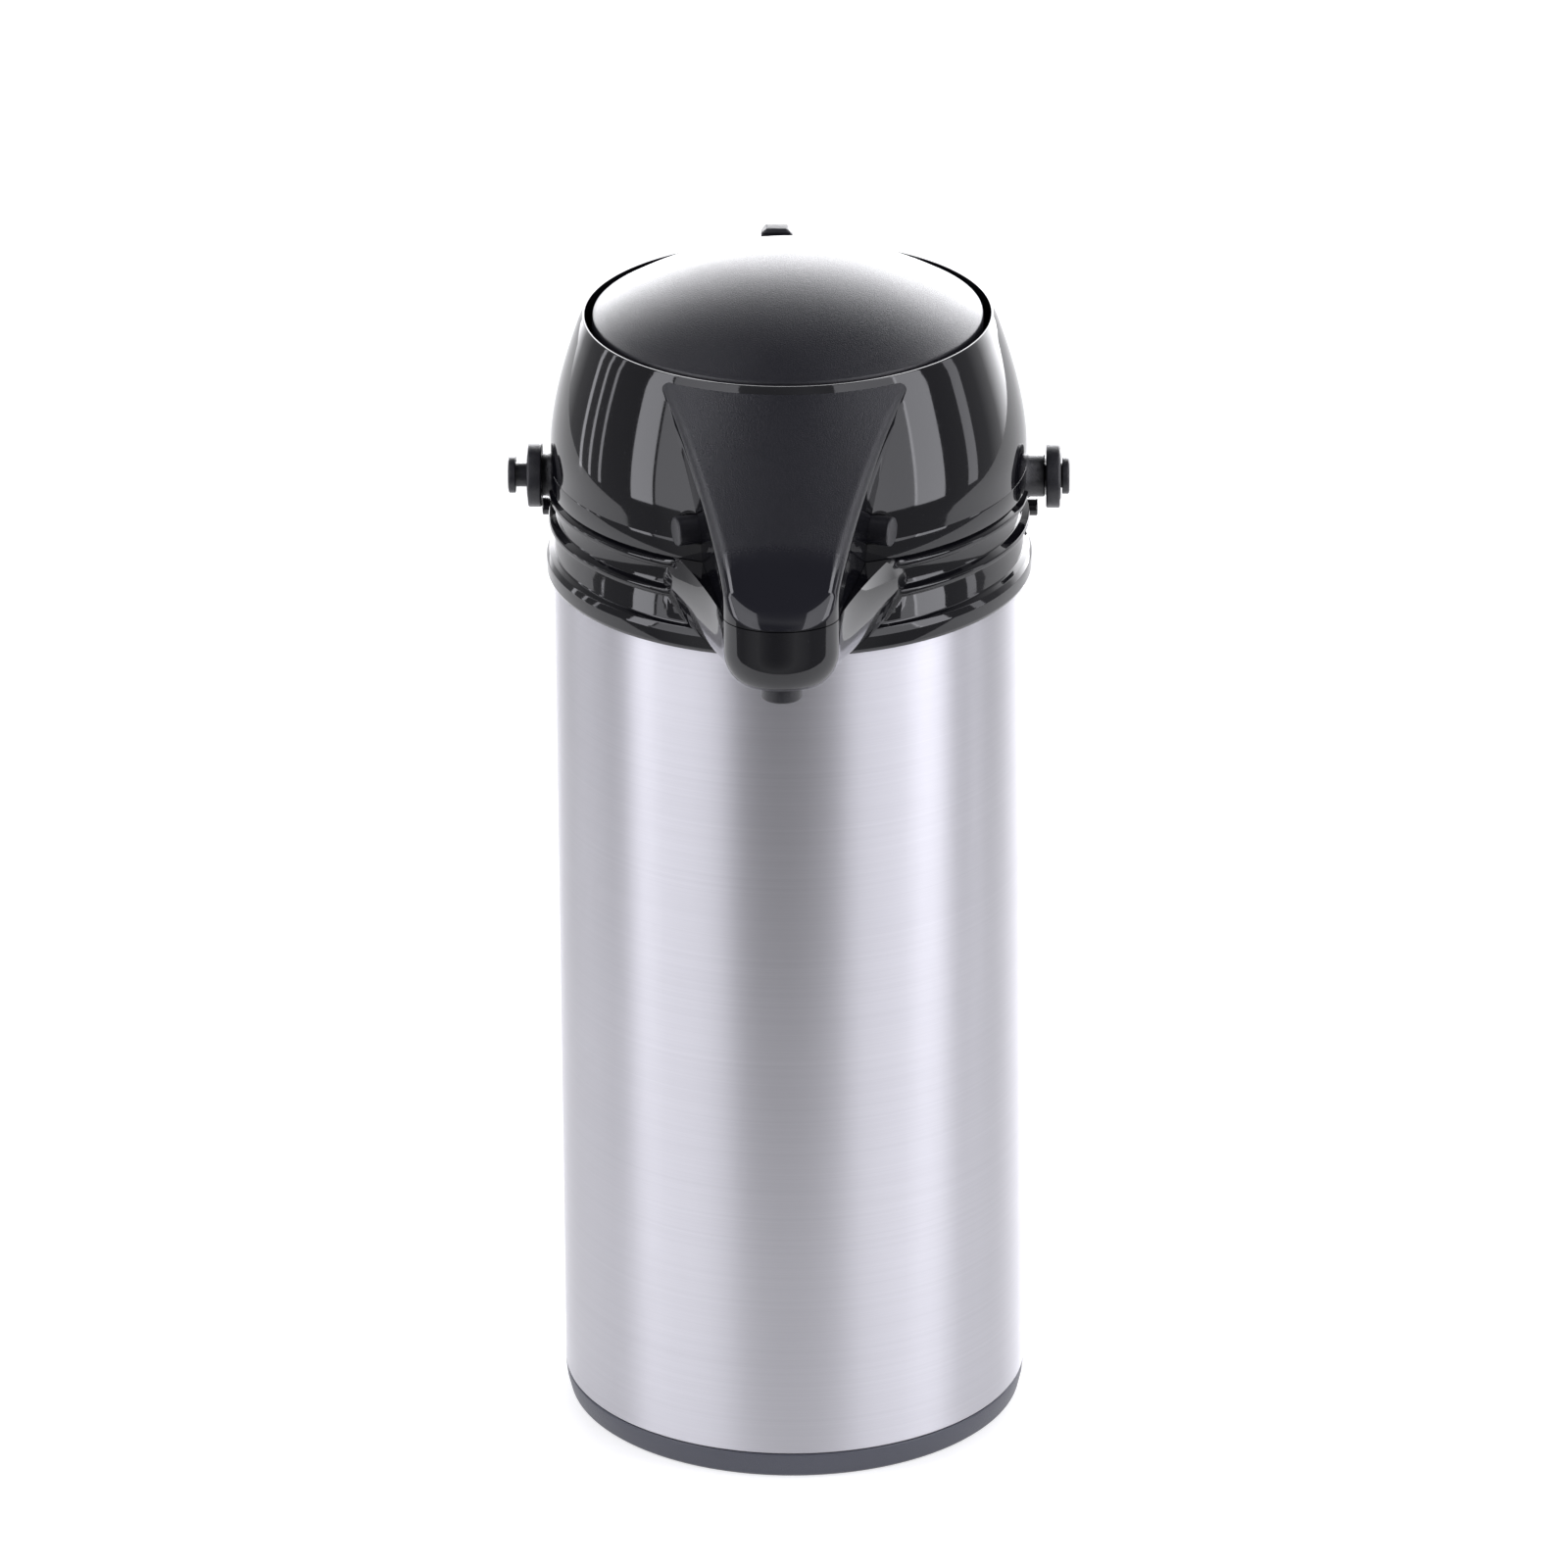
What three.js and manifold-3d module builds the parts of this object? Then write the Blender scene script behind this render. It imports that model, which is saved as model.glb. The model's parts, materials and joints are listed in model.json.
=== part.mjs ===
// Thermal coffee airpot: a brushed steel flask with a glass vacuum liner, a hinged pump lid and a bail.
// Millimetres, +Z up. The origin is on the flask's axis at the surface it stands on. The spout points to -Y.
import * as THREE from 'three';
import { mergeVertices } from 'three/addons/utils/BufferGeometryUtils.js';
import Module from 'manifold-3d';

// Driving dimensions
const gap = 0.3; // between neighbouring pieces that touch
const sides = 40; // facets round the outer pieces
const innerSides = 24; // facets round the hidden pieces
const smallSides = 12; // facets round pins, tubes and buttons

const bodyRadius = 68;
const steelThickness = 0.6;
const baseTop = 8; // top of the visible base ring
const collarBottom = 261;
const partingHeight = 295.5; // the plane where the lid opens from the collar
const lidBottom = partingHeight + gap;
const shellWidestHeight = 300;
const shellRadius = 68.5;
const rimHeight = 339;
const rimRadius = 59;
const shellWall = 2.2;
const domeRadius = 56;
const domeEdge = 338.6;
const domeCrown = 355.5;
const domeTravel = 18;

const linerOuterRadius = 62;
const linerInnerRadius = 56;
const neckRadius = 24.3; // inside of the liner's mouth
const linerTop = 264;

const spoutRootY = -49;
const noseStartY = -105;
const noseTipY = -117;
const spoutRootHalfWidth = 34.9;
const noseHalfWidth = 16.3;
const panelSlope = 0.8; // fall of the spout's top panel per millimetre of radius
const panelTop = 337.5; // height of the panel where it leaves the lid's rim
const noseLip = 1.6; // least height of the spout's cover

const pivotHeight = 289; // the bail's pivots
const postRadius = 6.1;
const postEnd = 73.6;
const pivotBore = 3.8;
const stopRadius = 2.5; // lug that the bail comes to rest on
const stopY = 11.5;
const stopHeight = 274.6;
const eyeThickness = 4;
const eyeInner = 72.5;
const eyeRadius = 9.3;
const bailPlay = 1.5; // the bail sits this far to the right of the middle
const bailReach = 106; // pivot to the outside of the grip
const bailRest = 112; // degrees from upright back to the stop

const hingeY = 71.5;
const hingeHeight = 293;
const knuckleRadius = 4.5;
const lidKnuckleEnd = 13.1; // the lid's knuckle lies between the collar's two
const collarKnuckleStart = 13.7;
const collarKnuckleEnd = 20;
const hingeBore = 2.2;

const buttonRadius = 4.25;
const buttonYaw = 20; // degrees
const buttonHeight = 298;
const buttonWall = new THREE.Vector2(22.6, -63); // where a release button leaves the spout's side
const buttonEnd = 8.6; // its length outside that place
const buttonTail = -4;

const pipeHeight = 281;
const pipeRadius = 4;
const pipeHole = 6.2;
const dipTubeY = -12;
const nozzleY = -102;

const screwRadius = 1.8;
const baseInside = 64.6; // inside of the base ring's and the collar's rims

const wasm = await Module();
wasm.setup();

const slots = {
  steel: [0xc9c8d2, 0.32, 1],
  glossBlack: [0x15151b, 0.12, 0],
  satinBlack: [0x26272e, 0.42, 0],
  baseBlack: [0x3a3c49, 0.5, 0],
  glass: [0xd6dde2, 0.05, 0],
  rubber: [0x2b2b2e, 0.8, 0],
  silicone: [0xd9d6cf, 0.6, 0],
  whitePlastic: [0xe4e3df, 0.45, 0],
  springSteel: [0xa8aab0, 0.3, 1],
};

const airpot = new THREE.Group();

function place(name, geometry, slot, parent = airpot) {
  const [color, roughness, metalness] = slots[slot];
  const mesh = new THREE.Mesh(geometry, new THREE.MeshStandardMaterial({ color, roughness, metalness }));
  mesh.name = name;
  parent.add(mesh);
  return mesh;
}

// A closed mesh with shared corners merged and collapsed triangles dropped
function toSolid(geometry) {
  const bare = geometry.clone();
  bare.deleteAttribute('normal');
  bare.deleteAttribute('uv');
  const merged = mergeVertices(bare, 1e-3);
  const index = merged.index.array;
  const corners = [];
  for (let i = 0; i < index.length; i += 3) {
    const [a, b, c] = index.slice(i, i + 3);
    if (a !== b && b !== c && c !== a) corners.push(a, b, c);
  }
  return new wasm.Manifold(new wasm.Mesh({
    numProp: 3,
    vertProperties: new Float32Array(merged.attributes.position.array),
    triVerts: new Uint32Array(corners),
  }));
}

function fromSolid(solid) {
  const mesh = solid.getMesh();
  const geometry = new THREE.BufferGeometry();
  geometry.setAttribute('position', new THREE.BufferAttribute(new Float32Array(mesh.vertProperties), 3));
  geometry.setIndex(new THREE.BufferAttribute(new Uint32Array(mesh.triVerts), 1));
  return geometry;
}

function join(first, ...others) {
  return fromSolid(others.reduce((whole, other) => whole.add(toSolid(other)), toSolid(first)));
}

function cut(first, ...tools) {
  return fromSolid(tools.reduce((whole, tool) => whole.subtract(toSolid(tool)), toSolid(first)));
}

// A turned piece about Z from [radius, height] points; an outline off the axis closes on itself
function turned(profile, facets = sides) {
  const points = profile.map(([r, z]) => new THREE.Vector2(r, z));
  const solidCore = profile[0][0] === 0 && profile[profile.length - 1][0] === 0;
  if (!solidCore) points.push(points[0].clone());
  if (THREE.ShapeUtils.area(points) < 0) points.reverse();
  return new THREE.LatheGeometry(points, facets).rotateX(Math.PI / 2);
}

function ring(inner, outer, low, high, facets = innerSides) {
  return turned([[inner, low], [outer, low], [outer, high], [inner, high]], facets);
}

function rod(radius, low, high, facets = smallSides) {
  return turned([[0, low], [radius, low], [radius, high], [0, high]], facets);
}

// A turned piece laid along X, from its side of the flask outwards: side is 1 or -1
function alongX(geometry, side, y, z) {
  return geometry.rotateY(side * Math.PI / 2).translate(0, y, z);
}

// A rod along X, centred on the hinge
function acrossHinge(radius, halfLength) {
  return rod(radius, -halfLength, halfLength).rotateY(Math.PI / 2).translate(0, hingeY, hingeHeight);
}

function block(low, high) {
  const size = high.map((value, i) => value - low[i]);
  const middle = high.map((value, i) => (value + low[i]) / 2);
  return new THREE.BoxGeometry(...size).translate(...middle);
}

function arc(count, point) {
  return Array.from({ length: count + 1 }, (_, i) => point((i / count) * Math.PI / 2));
}

// A round section, hollow if inner is given, swept along a curve
function swept(path, outer, inner, facets, steps) {
  const section = new THREE.Shape().absarc(0, 0, outer, 0, Math.PI * 2, false);
  if (inner) section.holes.push(new THREE.Path().absarc(0, 0, inner, 0, Math.PI * 2, true));
  const options = { extrudePath: path, steps, curveSegments: facets / 2, bevelEnabled: false };
  return new THREE.ExtrudeGeometry(section, options);
}

class Helix extends THREE.Curve {
  constructor(radius, low, high, turns) {
    super();
    Object.assign(this, { radius, low, high, turns });
  }

  getPoint(t) {
    const angle = t * this.turns * Math.PI * 2;
    const z = this.low + t * (this.high - this.low);
    return new THREE.Vector3(this.radius * Math.cos(angle), this.radius * Math.sin(angle), z);
  }
}

// Flask: base, steel shell and vacuum liner

function makeBase() {
  const lipRadius = bodyRadius - steelThickness - gap;
  const profile = [[62, 0], [66, 0], [66.7, 0.8], [67.7, 5], [bodyRadius, baseTop], [lipRadius, baseTop],
    [lipRadius, 14], [baseInside, 14], [baseInside, 6], [62, 6]];
  place('base_ring', turned(profile), 'baseBlack');
  const plate = [[0, 0], [61.7, 0], [61.7, 3], [33, 3], [33, 9], [30, 9], [30, 3], [0, 3]];
  place('base_plate', turned(plate, innerSides), 'baseBlack');
  const cushion = [[0, 9.3], [36, 9.3], [46, 19], [44, 21], [36, 16.2], [0, 12.5]];
  place('liner_cushion', turned(cushion, innerSides), 'rubber');
}

function makeSteelBody() {
  const inside = bodyRadius - steelThickness;
  place('steel_body', ring(inside, bodyRadius, baseTop + gap, collarBottom + 5, sides), 'steel');
}

// One surface of the liner's glass, from the middle of the bottom up to the mouth
function linerSurface(radius, neck, bottom, shoulder, top, firstAngle) {
  const bowl = 38;
  const shoulderDrop = 30;
  const points = arc(5, (a) => {
    const angle = Math.max(a, firstAngle);
    return [radius * Math.sin(angle), bottom + bowl * (1 - Math.cos(angle))];
  });
  const reach = radius - neck;
  const shoulderBase = shoulder - shoulderDrop;
  points.push(...arc(4, (a) => [neck + reach * Math.cos(a), shoulderBase + shoulderDrop * Math.sin(a)]));
  points.push([neck, top]);
  return points;
}

function makeLiner() {
  const glass = 1.5;
  const pipHole = 2.5; // the sealed tip's place, where the space between the walls is open
  const bottom = 17;
  const innerBottom = 25;
  const shoulder = 249;
  const innerShoulder = 242;
  const outerNeck = neckRadius + 4.9;
  const cavityTop = linerTop - 3;
  const holeAngle = Math.asin(pipHole / linerOuterRadius);
  const inside = linerSurface(linerInnerRadius, neckRadius, innerBottom, innerShoulder, linerTop, 0);
  const innerBack = linerSurface(linerInnerRadius + glass, neckRadius + glass, innerBottom - glass,
    innerShoulder + glass, cavityTop, 0);
  const outerBack = linerSurface(linerOuterRadius - glass, outerNeck - glass, bottom + glass,
    shoulder - glass, cavityTop, holeAngle);
  const outside = linerSurface(linerOuterRadius, outerNeck, bottom, shoulder, linerTop, holeAngle);
  const profile = [...innerBack, ...outerBack.reverse(), ...outside, ...inside.reverse()];
  place('glass_liner', turned(profile, innerSides), 'glass');
  place('neck_seal', ring(24.6, 31.4, linerTop + gap, linerTop + 3.3), 'rubber');
}

// Spout: a block under and a block over the parting plane. The upper one stands in from the lower one's edge.

const waist = 0.79; // the cover's share of the outline's width at the parting plane

function halfWidthAt(y) {
  const along = (y - noseStartY) / (spoutRootY - noseStartY);
  return noseHalfWidth + (spoutRootHalfWidth - noseHalfWidth) * Math.max(along, 0) ** 1.2;
}

function rootShare(y) {
  return THREE.MathUtils.clamp((y - noseStartY) / 42, 0, 1);
}

// A box bent to the spout's outline; level runs from 0 at the bottom to 1 at the top of the block
function spoutBlock({ rootY, inset, levels, low, high, widthShare }) {
  const box = new THREE.BoxGeometry(2, 1, 1, 6, 8, levels);
  const position = box.attributes.position;
  for (let i = 0; i < position.count; i += 1) {
    const angle = position.getX(i) * Math.PI / 2;
    const along = 0.5 - position.getY(i);
    const level = position.getZ(i) + 0.5;
    const edgeY = rootY + along * (noseStartY - rootY);
    const share = widthShare(level, edgeY);
    const x = Math.sin(angle) * (halfWidthAt(edgeY) * share - inset);
    const nose = (noseStartY - noseTipY - inset) * Math.cos(angle) * (share + 1 - widthShare(1, edgeY));
    const y = rootY + along * (noseStartY - nose - rootY);
    const radius = Math.hypot(x, y);
    position.setXYZ(i, x, y, THREE.MathUtils.lerp(low(y), high(radius), level));
  }
  return box;
}

function coverTop(radius) {
  return Math.max(panelTop - panelSlope * (radius - rimRadius), lidBottom + noseLip);
}

function coverBlock(inset) {
  return spoutBlock({
    rootY: inset ? -36 : -50,
    inset,
    levels: 2,
    low: () => lidBottom - inset,
    high: (radius) => coverTop(radius) - inset * 0.8,
    widthShare: (level, y) => 1 - (1 - waist) * rootShare(y) * (1 - level),
  });
}

function lowerSpoutBlock() {
  const foot = 0.77;
  const flare = 0.19;
  return spoutBlock({
    rootY: -56,
    inset: 0,
    levels: 3,
    low: (y) => 264 + 4 * THREE.MathUtils.clamp((-y - 66) / 39, 0, 1),
    high: () => partingHeight,
    widthShare: (level, y) => {
      const nose = 0.55 + 0.45 * (1 - (1 - level) ** 3);
      const root = THREE.MathUtils.lerp(foot, 1, level) + flare * Math.sin(Math.PI * level);
      return THREE.MathUtils.lerp(nose, root, rootShare(y));
    },
  });
}

// A piece made along +Z at the origin, turned to a release button's axis on one side of the spout
function onButtonAxis(geometry, side) {
  const yaw = THREE.MathUtils.degToRad(buttonYaw);
  geometry.rotateY(Math.PI / 2).rotateZ(-yaw);
  geometry.translate(buttonWall.x, buttonWall.y, buttonHeight);
  return side > 0 ? geometry : geometry.applyMatrix4(mirrorX(geometry));
}

// The matrix that mirrors a geometry in X, after its triangles are turned to keep facing out
function mirrorX(geometry) {
  const index = geometry.index.array;
  for (let i = 0; i < index.length; i += 3) {
    [index[i], index[i + 1]] = [index[i + 1], index[i]];
  }
  return new THREE.Matrix4().makeScale(-1, 1, 1);
}

const bothSides = [1, -1];

// Collar: ribbed ring, throat, lower half of the spout, bail posts and hinge knuckles

function makeCollar() {
  const steelInside = bodyRadius - steelThickness - gap;
  const steelOutside = bodyRadius + gap;
  const rib = (z, radius) => [[67.2, z - 1.8], [radius, z - 0.8], [radius, z + 0.4], [67.5, z + 1.4]];
  const outer = [[steelOutside, collarBottom], [69.6, 261.2], [70, 262.4], [70, 266.2], [69.3, 267.5],
    [67.7, 268.2], [67.6, 275], ...rib(280, 69.2), ...rib(287, 69), [67.2, 293.6], [68.6, 294.4],
    [68.6, partingHeight]];
  const seatHeight = 266.4; // inside, where the collar sits on the steel's edge
  const inner = [[baseInside, partingHeight], [baseInside, 256], [steelInside, 256],
    [steelInside, seatHeight], [steelOutside, seatHeight]];
  const throat = [[27, 267.6], [33, 267.6], [33, 269.6], [30.5, 270.6], [30.5, 273.5], [65.5, 273.5],
    [65.5, 276], [30.5, 276], [30.5, 289.5], [27, 289.5]];
  const additions = [turned(throat), lowerSpoutBlock()];
  for (const side of bothSides) {
    additions.push(alongX(rod(postRadius, 63, postEnd), side, 0, pivotHeight));
    additions.push(alongX(rod(stopRadius, 62, 71.6, 10), side, stopY, stopHeight));
    const knuckle = rod(knuckleRadius, collarKnuckleStart, collarKnuckleEnd);
    additions.push(alongX(knuckle, side, hingeY, hingeHeight));
    const ends = [side * collarKnuckleStart, side * collarKnuckleEnd];
    additions.push(block([Math.min(...ends), 65.5, 284], [Math.max(...ends), 74, 292]));
  }
  const channel = 7; // half the width of the outlet pipe's channel
  const tools = [
    ring(steelInside, steelOutside, 250, seatHeight, sides),
    block([-channel, -110.5, 275.5], [channel, -58, partingHeight + 1]),
    block([-channel, -60, 276.5], [channel, -36, partingHeight + 1]),
    rod(pipeHole, 260, 277).translate(0, nozzleY, 0),
    rod(pipeHole, 20, 37).rotateX(Math.PI / 2).translate(0, 0, pipeHeight),
    acrossHinge(knuckleRadius + 2 * gap, lidKnuckleEnd + gap),
    acrossHinge(hingeBore, collarKnuckleEnd + 1),
  ];
  for (const side of bothSides) {
    tools.push(alongX(rod(pivotBore, 64.5, postEnd + 1), side, 0, pivotHeight));
    tools.push(onButtonAxis(rod(buttonRadius + 2 * gap, -9, 12), side));
  }
  const body = join(turned([...outer, ...inner]), ...additions);
  place('collar', cut(body, ...tools), 'glossBlack');
}

function makeHandlePins() {
  for (const [name, side] of [['handle_pin_right', 1], ['handle_pin_left', -1]]) {
    const profile = [[0, 65], [pivotBore - gap, 65], [pivotBore - gap, 78.6], [5.3, 78.6], [5.3, 80.4],
      [4.8, 80.8], [0, 80.8]];
    place(name, alongX(turned(profile, smallSides), side, 0, pivotHeight), 'satinBlack');
  }
}

// Dispensing line: dip tube, coupling, outlet pipe, seal and nozzle

function outletPath() {
  const at = (y, z) => new THREE.Vector3(0, y, z);
  const path = new THREE.CurvePath();
  path.add(new THREE.LineCurve3(at(dipTubeY, 258), at(dipTubeY, 270)));
  path.add(new THREE.QuadraticBezierCurve3(at(dipTubeY, 270), at(dipTubeY, pipeHeight), at(-23, pipeHeight)));
  path.add(new THREE.LineCurve3(at(-23, pipeHeight), at(-91, pipeHeight)));
  path.add(new THREE.QuadraticBezierCurve3(at(-91, pipeHeight), at(nozzleY, pipeHeight), at(nozzleY, 270)));
  path.add(new THREE.LineCurve3(at(nozzleY, 270), at(nozzleY, 264.5)));
  return path;
}

function makeDispensingLine() {
  place('dip_tube', ring(2.8, pipeRadius, 29, 257.7, smallSides), 'whitePlastic').position.y = dipTubeY;
  const coupling = ring(pipeRadius + gap, pipeHole, 250, 266, smallSides);
  place('tube_coupling', coupling, 'rubber').position.y = dipTubeY;
  place('outlet_pipe', swept(outletPath(), pipeRadius, 2.6, 8, 26), 'whitePlastic');
  const seal = ring(pipeRadius + gap, pipeHole - gap, 26.6, 31, smallSides).rotateX(Math.PI / 2);
  place('pipe_seal', seal.translate(0, 0, pipeHeight), 'silicone');
  const nozzle = [[4.4, 262.8], [5.6, 262.8], [5.85, 263.2], [5.85, 269.6], [4.4, 269.6]];
  place('nozzle', turned(nozzle, smallSides), 'satinBlack').position.y = nozzleY;
}

// Lid: shell with the spout's cover, base, gasket, screws, hinge pin and lock

function shellRadiusAt(z) {
  const share = Math.max(z - shellWidestHeight, 0) / (rimHeight - shellWidestHeight);
  return shellRadius - (shellRadius - rimRadius) * share ** 1.6;
}

const screwAngles = [-35, 55, 125, 215].map(THREE.MathUtils.degToRad);
const screwCircle = 61.4;
const screwPlaces = screwAngles.map((a) => [screwCircle * Math.cos(a), screwCircle * Math.sin(a)]);

function makeLidShell() {
  const heights = [lidBottom, 300, 306, 312, 318, 324, 330, 335];
  const outer = heights.map((z) => [shellRadiusAt(z), z]);
  const rim = [[rimRadius, 338.2], [58.7, rimHeight], [0, rimHeight]];
  const inner = heights.slice(0, 7).map((z) => [shellRadiusAt(z) - shellWall, z]);
  const hollow = [[0, 290], [inner[0][0], 290], ...inner, [58.1, 334], [58.1, 345], [0, 345]];
  const additions = [
    coverBlock(0),
    acrossHinge(knuckleRadius, lidKnuckleEnd),
    block([-lidKnuckleEnd, 67.5, 293.5], [lidKnuckleEnd, 74, 301]),
    block([-lidKnuckleEnd, 66, lidBottom], [lidKnuckleEnd, 74, 301]),
  ];
  const tools = [
    turned(hollow),
    coverBlock(2.4),
    block([-9.8, 57, 325.4], [9.8, 70, 329.4]),
    acrossHinge(hingeBore, collarKnuckleEnd + 1),
  ];
  for (const side of bothSides) {
    const clearance = rod(knuckleRadius + 2 * gap, lidKnuckleEnd + 0.4, collarKnuckleEnd + 0.4);
    tools.push(alongX(clearance, side, hingeY, hingeHeight));
    tools.push(onButtonAxis(rod(buttonRadius + 0.35, -9, 12), side));
  }
  const shell = cut(join(turned([[0, lidBottom], ...outer, ...rim]), ...additions), ...tools);
  const boss = ring(screwRadius, 2 * screwRadius, 300.2, 317, smallSides);
  const bosses = screwPlaces.map(([x, y]) => boss.clone().translate(x, y, 0));
  place('lid_shell', join(shell, ...bosses), 'glossBlack');
}

function makeLidBase() {
  const profile = [[8, 297], [24, 297], [24, 287], [26.4, 287], [26.4, 297], [65.2, 297], [65.2, 299.8],
    [8, 299.8]];
  const holes = screwPlaces.map(([x, y]) => rod(screwRadius, 296, 301).translate(x, y, 0));
  const notches = bothSides.map((side) => onButtonAxis(rod(buttonRadius + 2 * gap, -9, 12), side));
  place('lid_base', cut(turned(profile), ...holes, ...notches), 'satinBlack');
  place('lid_gasket', ring(26.7, 31.5, 290, 296.7), 'silicone');
  screwPlaces.forEach(([x, y], i) => {
    const shank = screwRadius - gap;
    const outline = [[0, 295.3], [2.6, 295.3], [3, 296.7], [shank, 296.7], [shank, 306], [0, 307]];
    place(`lid_screw_${i + 1}`, turned(outline, smallSides), 'springSteel').position.set(x, y, 0);
  });
}

function makeHingePin() {
  place('hinge_pin', acrossHinge(hingeBore - gap, collarKnuckleEnd - 0.2), 'springSteel');
}

function makeLockSlider() {
  const middle = -4.5;
  const span = (half) => [middle - half, middle + half];
  const [left, right] = span(4.2);
  const [tabLeft, tabRight] = span(5);
  place('lock_slider', join(
    block([tabLeft, 63.9, 325.6], [tabRight, 65.6, 341.8]),
    block([tabLeft, 60.4, 339.6], [tabRight, 65.6, 341.8]),
    block([left, 58.5, 326], [right, 65, 329]),
    block([left, 58.5, 314.5], [right, 59.9, 329]),
    block([left, 53.6, 314.5], [right, 59.9, 317]),
  ), 'satinBlack');
}

// Pump: push dome, plate, intake valve, bellows and return spring

function makeDome() {
  const rise = domeCrown - domeEdge - 1.2;
  const topEdge = domeRadius - 1.4;
  const bend = (topEdge ** 2 + rise ** 2) / (2 * rise);
  const capHeight = (r, drop) => domeCrown - drop - bend + Math.sqrt(bend ** 2 - r ** 2);
  const stations = [0, 12, 24, 35, 45, topEdge];
  const skirtBottom = 318;
  const wall = 2.2;
  const outer = stations.map((r) => [r, capHeight(r, 0)]);
  const inner = stations.map((r) => Math.min(r, domeRadius - wall)).map((r) => [r, capHeight(r, wall)]);
  const skirt = [[domeRadius - 0.3, domeEdge + 0.5], [domeRadius, domeEdge], [domeRadius, skirtBottom],
    [domeRadius - wall, skirtBottom]];
  const notch = block([-9.6, 50, skirtBottom - 1], [0.6, 60, skirtBottom + domeTravel + 2]);
  place('push_dome', cut(turned([...outer, ...skirt, ...inner.reverse()]), notch), 'satinBlack');
  const plate = [[2.2, 334], [42, 334], [42, 336.5], [9, 336.5], [9, 352.6], [2.2, 352.6]];
  place('bellows_plate', turned(plate, innerSides), 'whitePlastic');
  const valve = [[0, 331.8], [8, 332.4], [8, 333.7], [1.9, 333.7], [1.9, 340], [0, 340]];
  place('intake_valve', turned(valve, smallSides), 'silicone');
}

function makeBellows() {
  const folds = 5;
  const low = 300.1;
  const high = 333.7;
  const wall = 1.2;
  const outline = [];
  for (let i = 0; i <= folds * 2; i += 1) {
    outline.push([i % 2 ? 39 : 31, low + (high - low) * i / (folds * 2)]);
  }
  const back = outline.map(([r, z]) => [r - wall * 2, z]).reverse();
  place('bellows', turned([...outline, ...back], innerSides), 'rubber');
  const wire = 0.9;
  const coil = new Helix(14, low + 1, high - 1, 5);
  place('return_spring', swept(coil, wire, 0, 6, 60), 'springSteel');
}

function makeReleaseButtons() {
  for (const [name, side] of [['release_button_right', 1], ['release_button_left', -1]]) {
    const profile = [[0, buttonTail], [buttonRadius, buttonTail], [buttonRadius, buttonEnd - 0.6],
      [buttonRadius - 0.6, buttonEnd], [0, buttonEnd]];
    place(name, onButtonAxis(turned(profile, smallSides), side), 'satinBlack');
  }
}

// Bail: a superelliptical loop with an eye at each end, swung back onto its stops

function loop(halfWidth, reach) {
  const bend = 2 / 3;
  return arc(12, (a) => new THREE.Vector2(halfWidth * Math.cos(a) ** bend, reach * Math.sin(a) ** bend));
}

function makeBail() {
  const gripThickness = 8;
  const strap = 3.5;
  const width = 11;
  const outer = loop(eyeInner + strap + 0.3, bailReach);
  const inner = loop(eyeInner + 0.3, bailReach - gripThickness);
  const mirrored = (points) => points.slice(0, -1).reverse().map((p) => new THREE.Vector2(-p.x, p.y));
  const outline = [...outer, ...mirrored(outer), ...[...inner, ...mirrored(inner)].reverse()];
  const strapShape = new THREE.Shape(outline);
  const strapSolid = new THREE.ExtrudeGeometry(strapShape, {
    depth: width - 2,
    bevelThickness: 1,
    bevelSize: 0.8,
    bevelOffset: -0.8,
    bevelSegments: 1,
  });
  strapSolid.rotateX(Math.PI / 2).translate(0, width / 2 - 1, 0);
  const additions = [];
  const tools = [];
  for (const side of bothSides) {
    additions.push(alongX(rod(eyeRadius, eyeInner, eyeInner + eyeThickness, 24), side, 0, 0));
    additions.push(alongX(rod(eyeRadius - 1.8, eyeInner, eyeInner + eyeThickness + 0.3, 24), side, 0, 0));
    tools.push(alongX(rod(postRadius + 0.3, eyeInner - 1, eyeInner + eyeThickness - 1, 24), side, 0, 0));
    tools.push(alongX(rod(pivotBore, eyeInner - 1, eyeInner + eyeThickness + 2), side, 0, 0));
  }
  const bail = place('handle_bail', cut(join(strapSolid, ...additions), ...tools), 'satinBlack');
  bail.position.set(bailPlay, 0, pivotHeight);
  bail.rotation.x = -THREE.MathUtils.degToRad(bailRest);
}

makeBase();
makeSteelBody();
makeLiner();
makeCollar();
makeHandlePins();
makeDispensingLine();
makeLidShell();
makeLidBase();
makeHingePin();
makeLockSlider();
makeDome();
makeBellows();
makeReleaseButtons();
makeBail();

export default airpot;
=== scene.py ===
"""Looks of a thermal coffee airpot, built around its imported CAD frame.

Outlines are in millimetres, and a mesh is in metres once it is made. Lights and the camera are in metres.
"""
import json
import math

import bmesh
import bpy
from mathutils import Matrix, Quaternion, Vector


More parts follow.
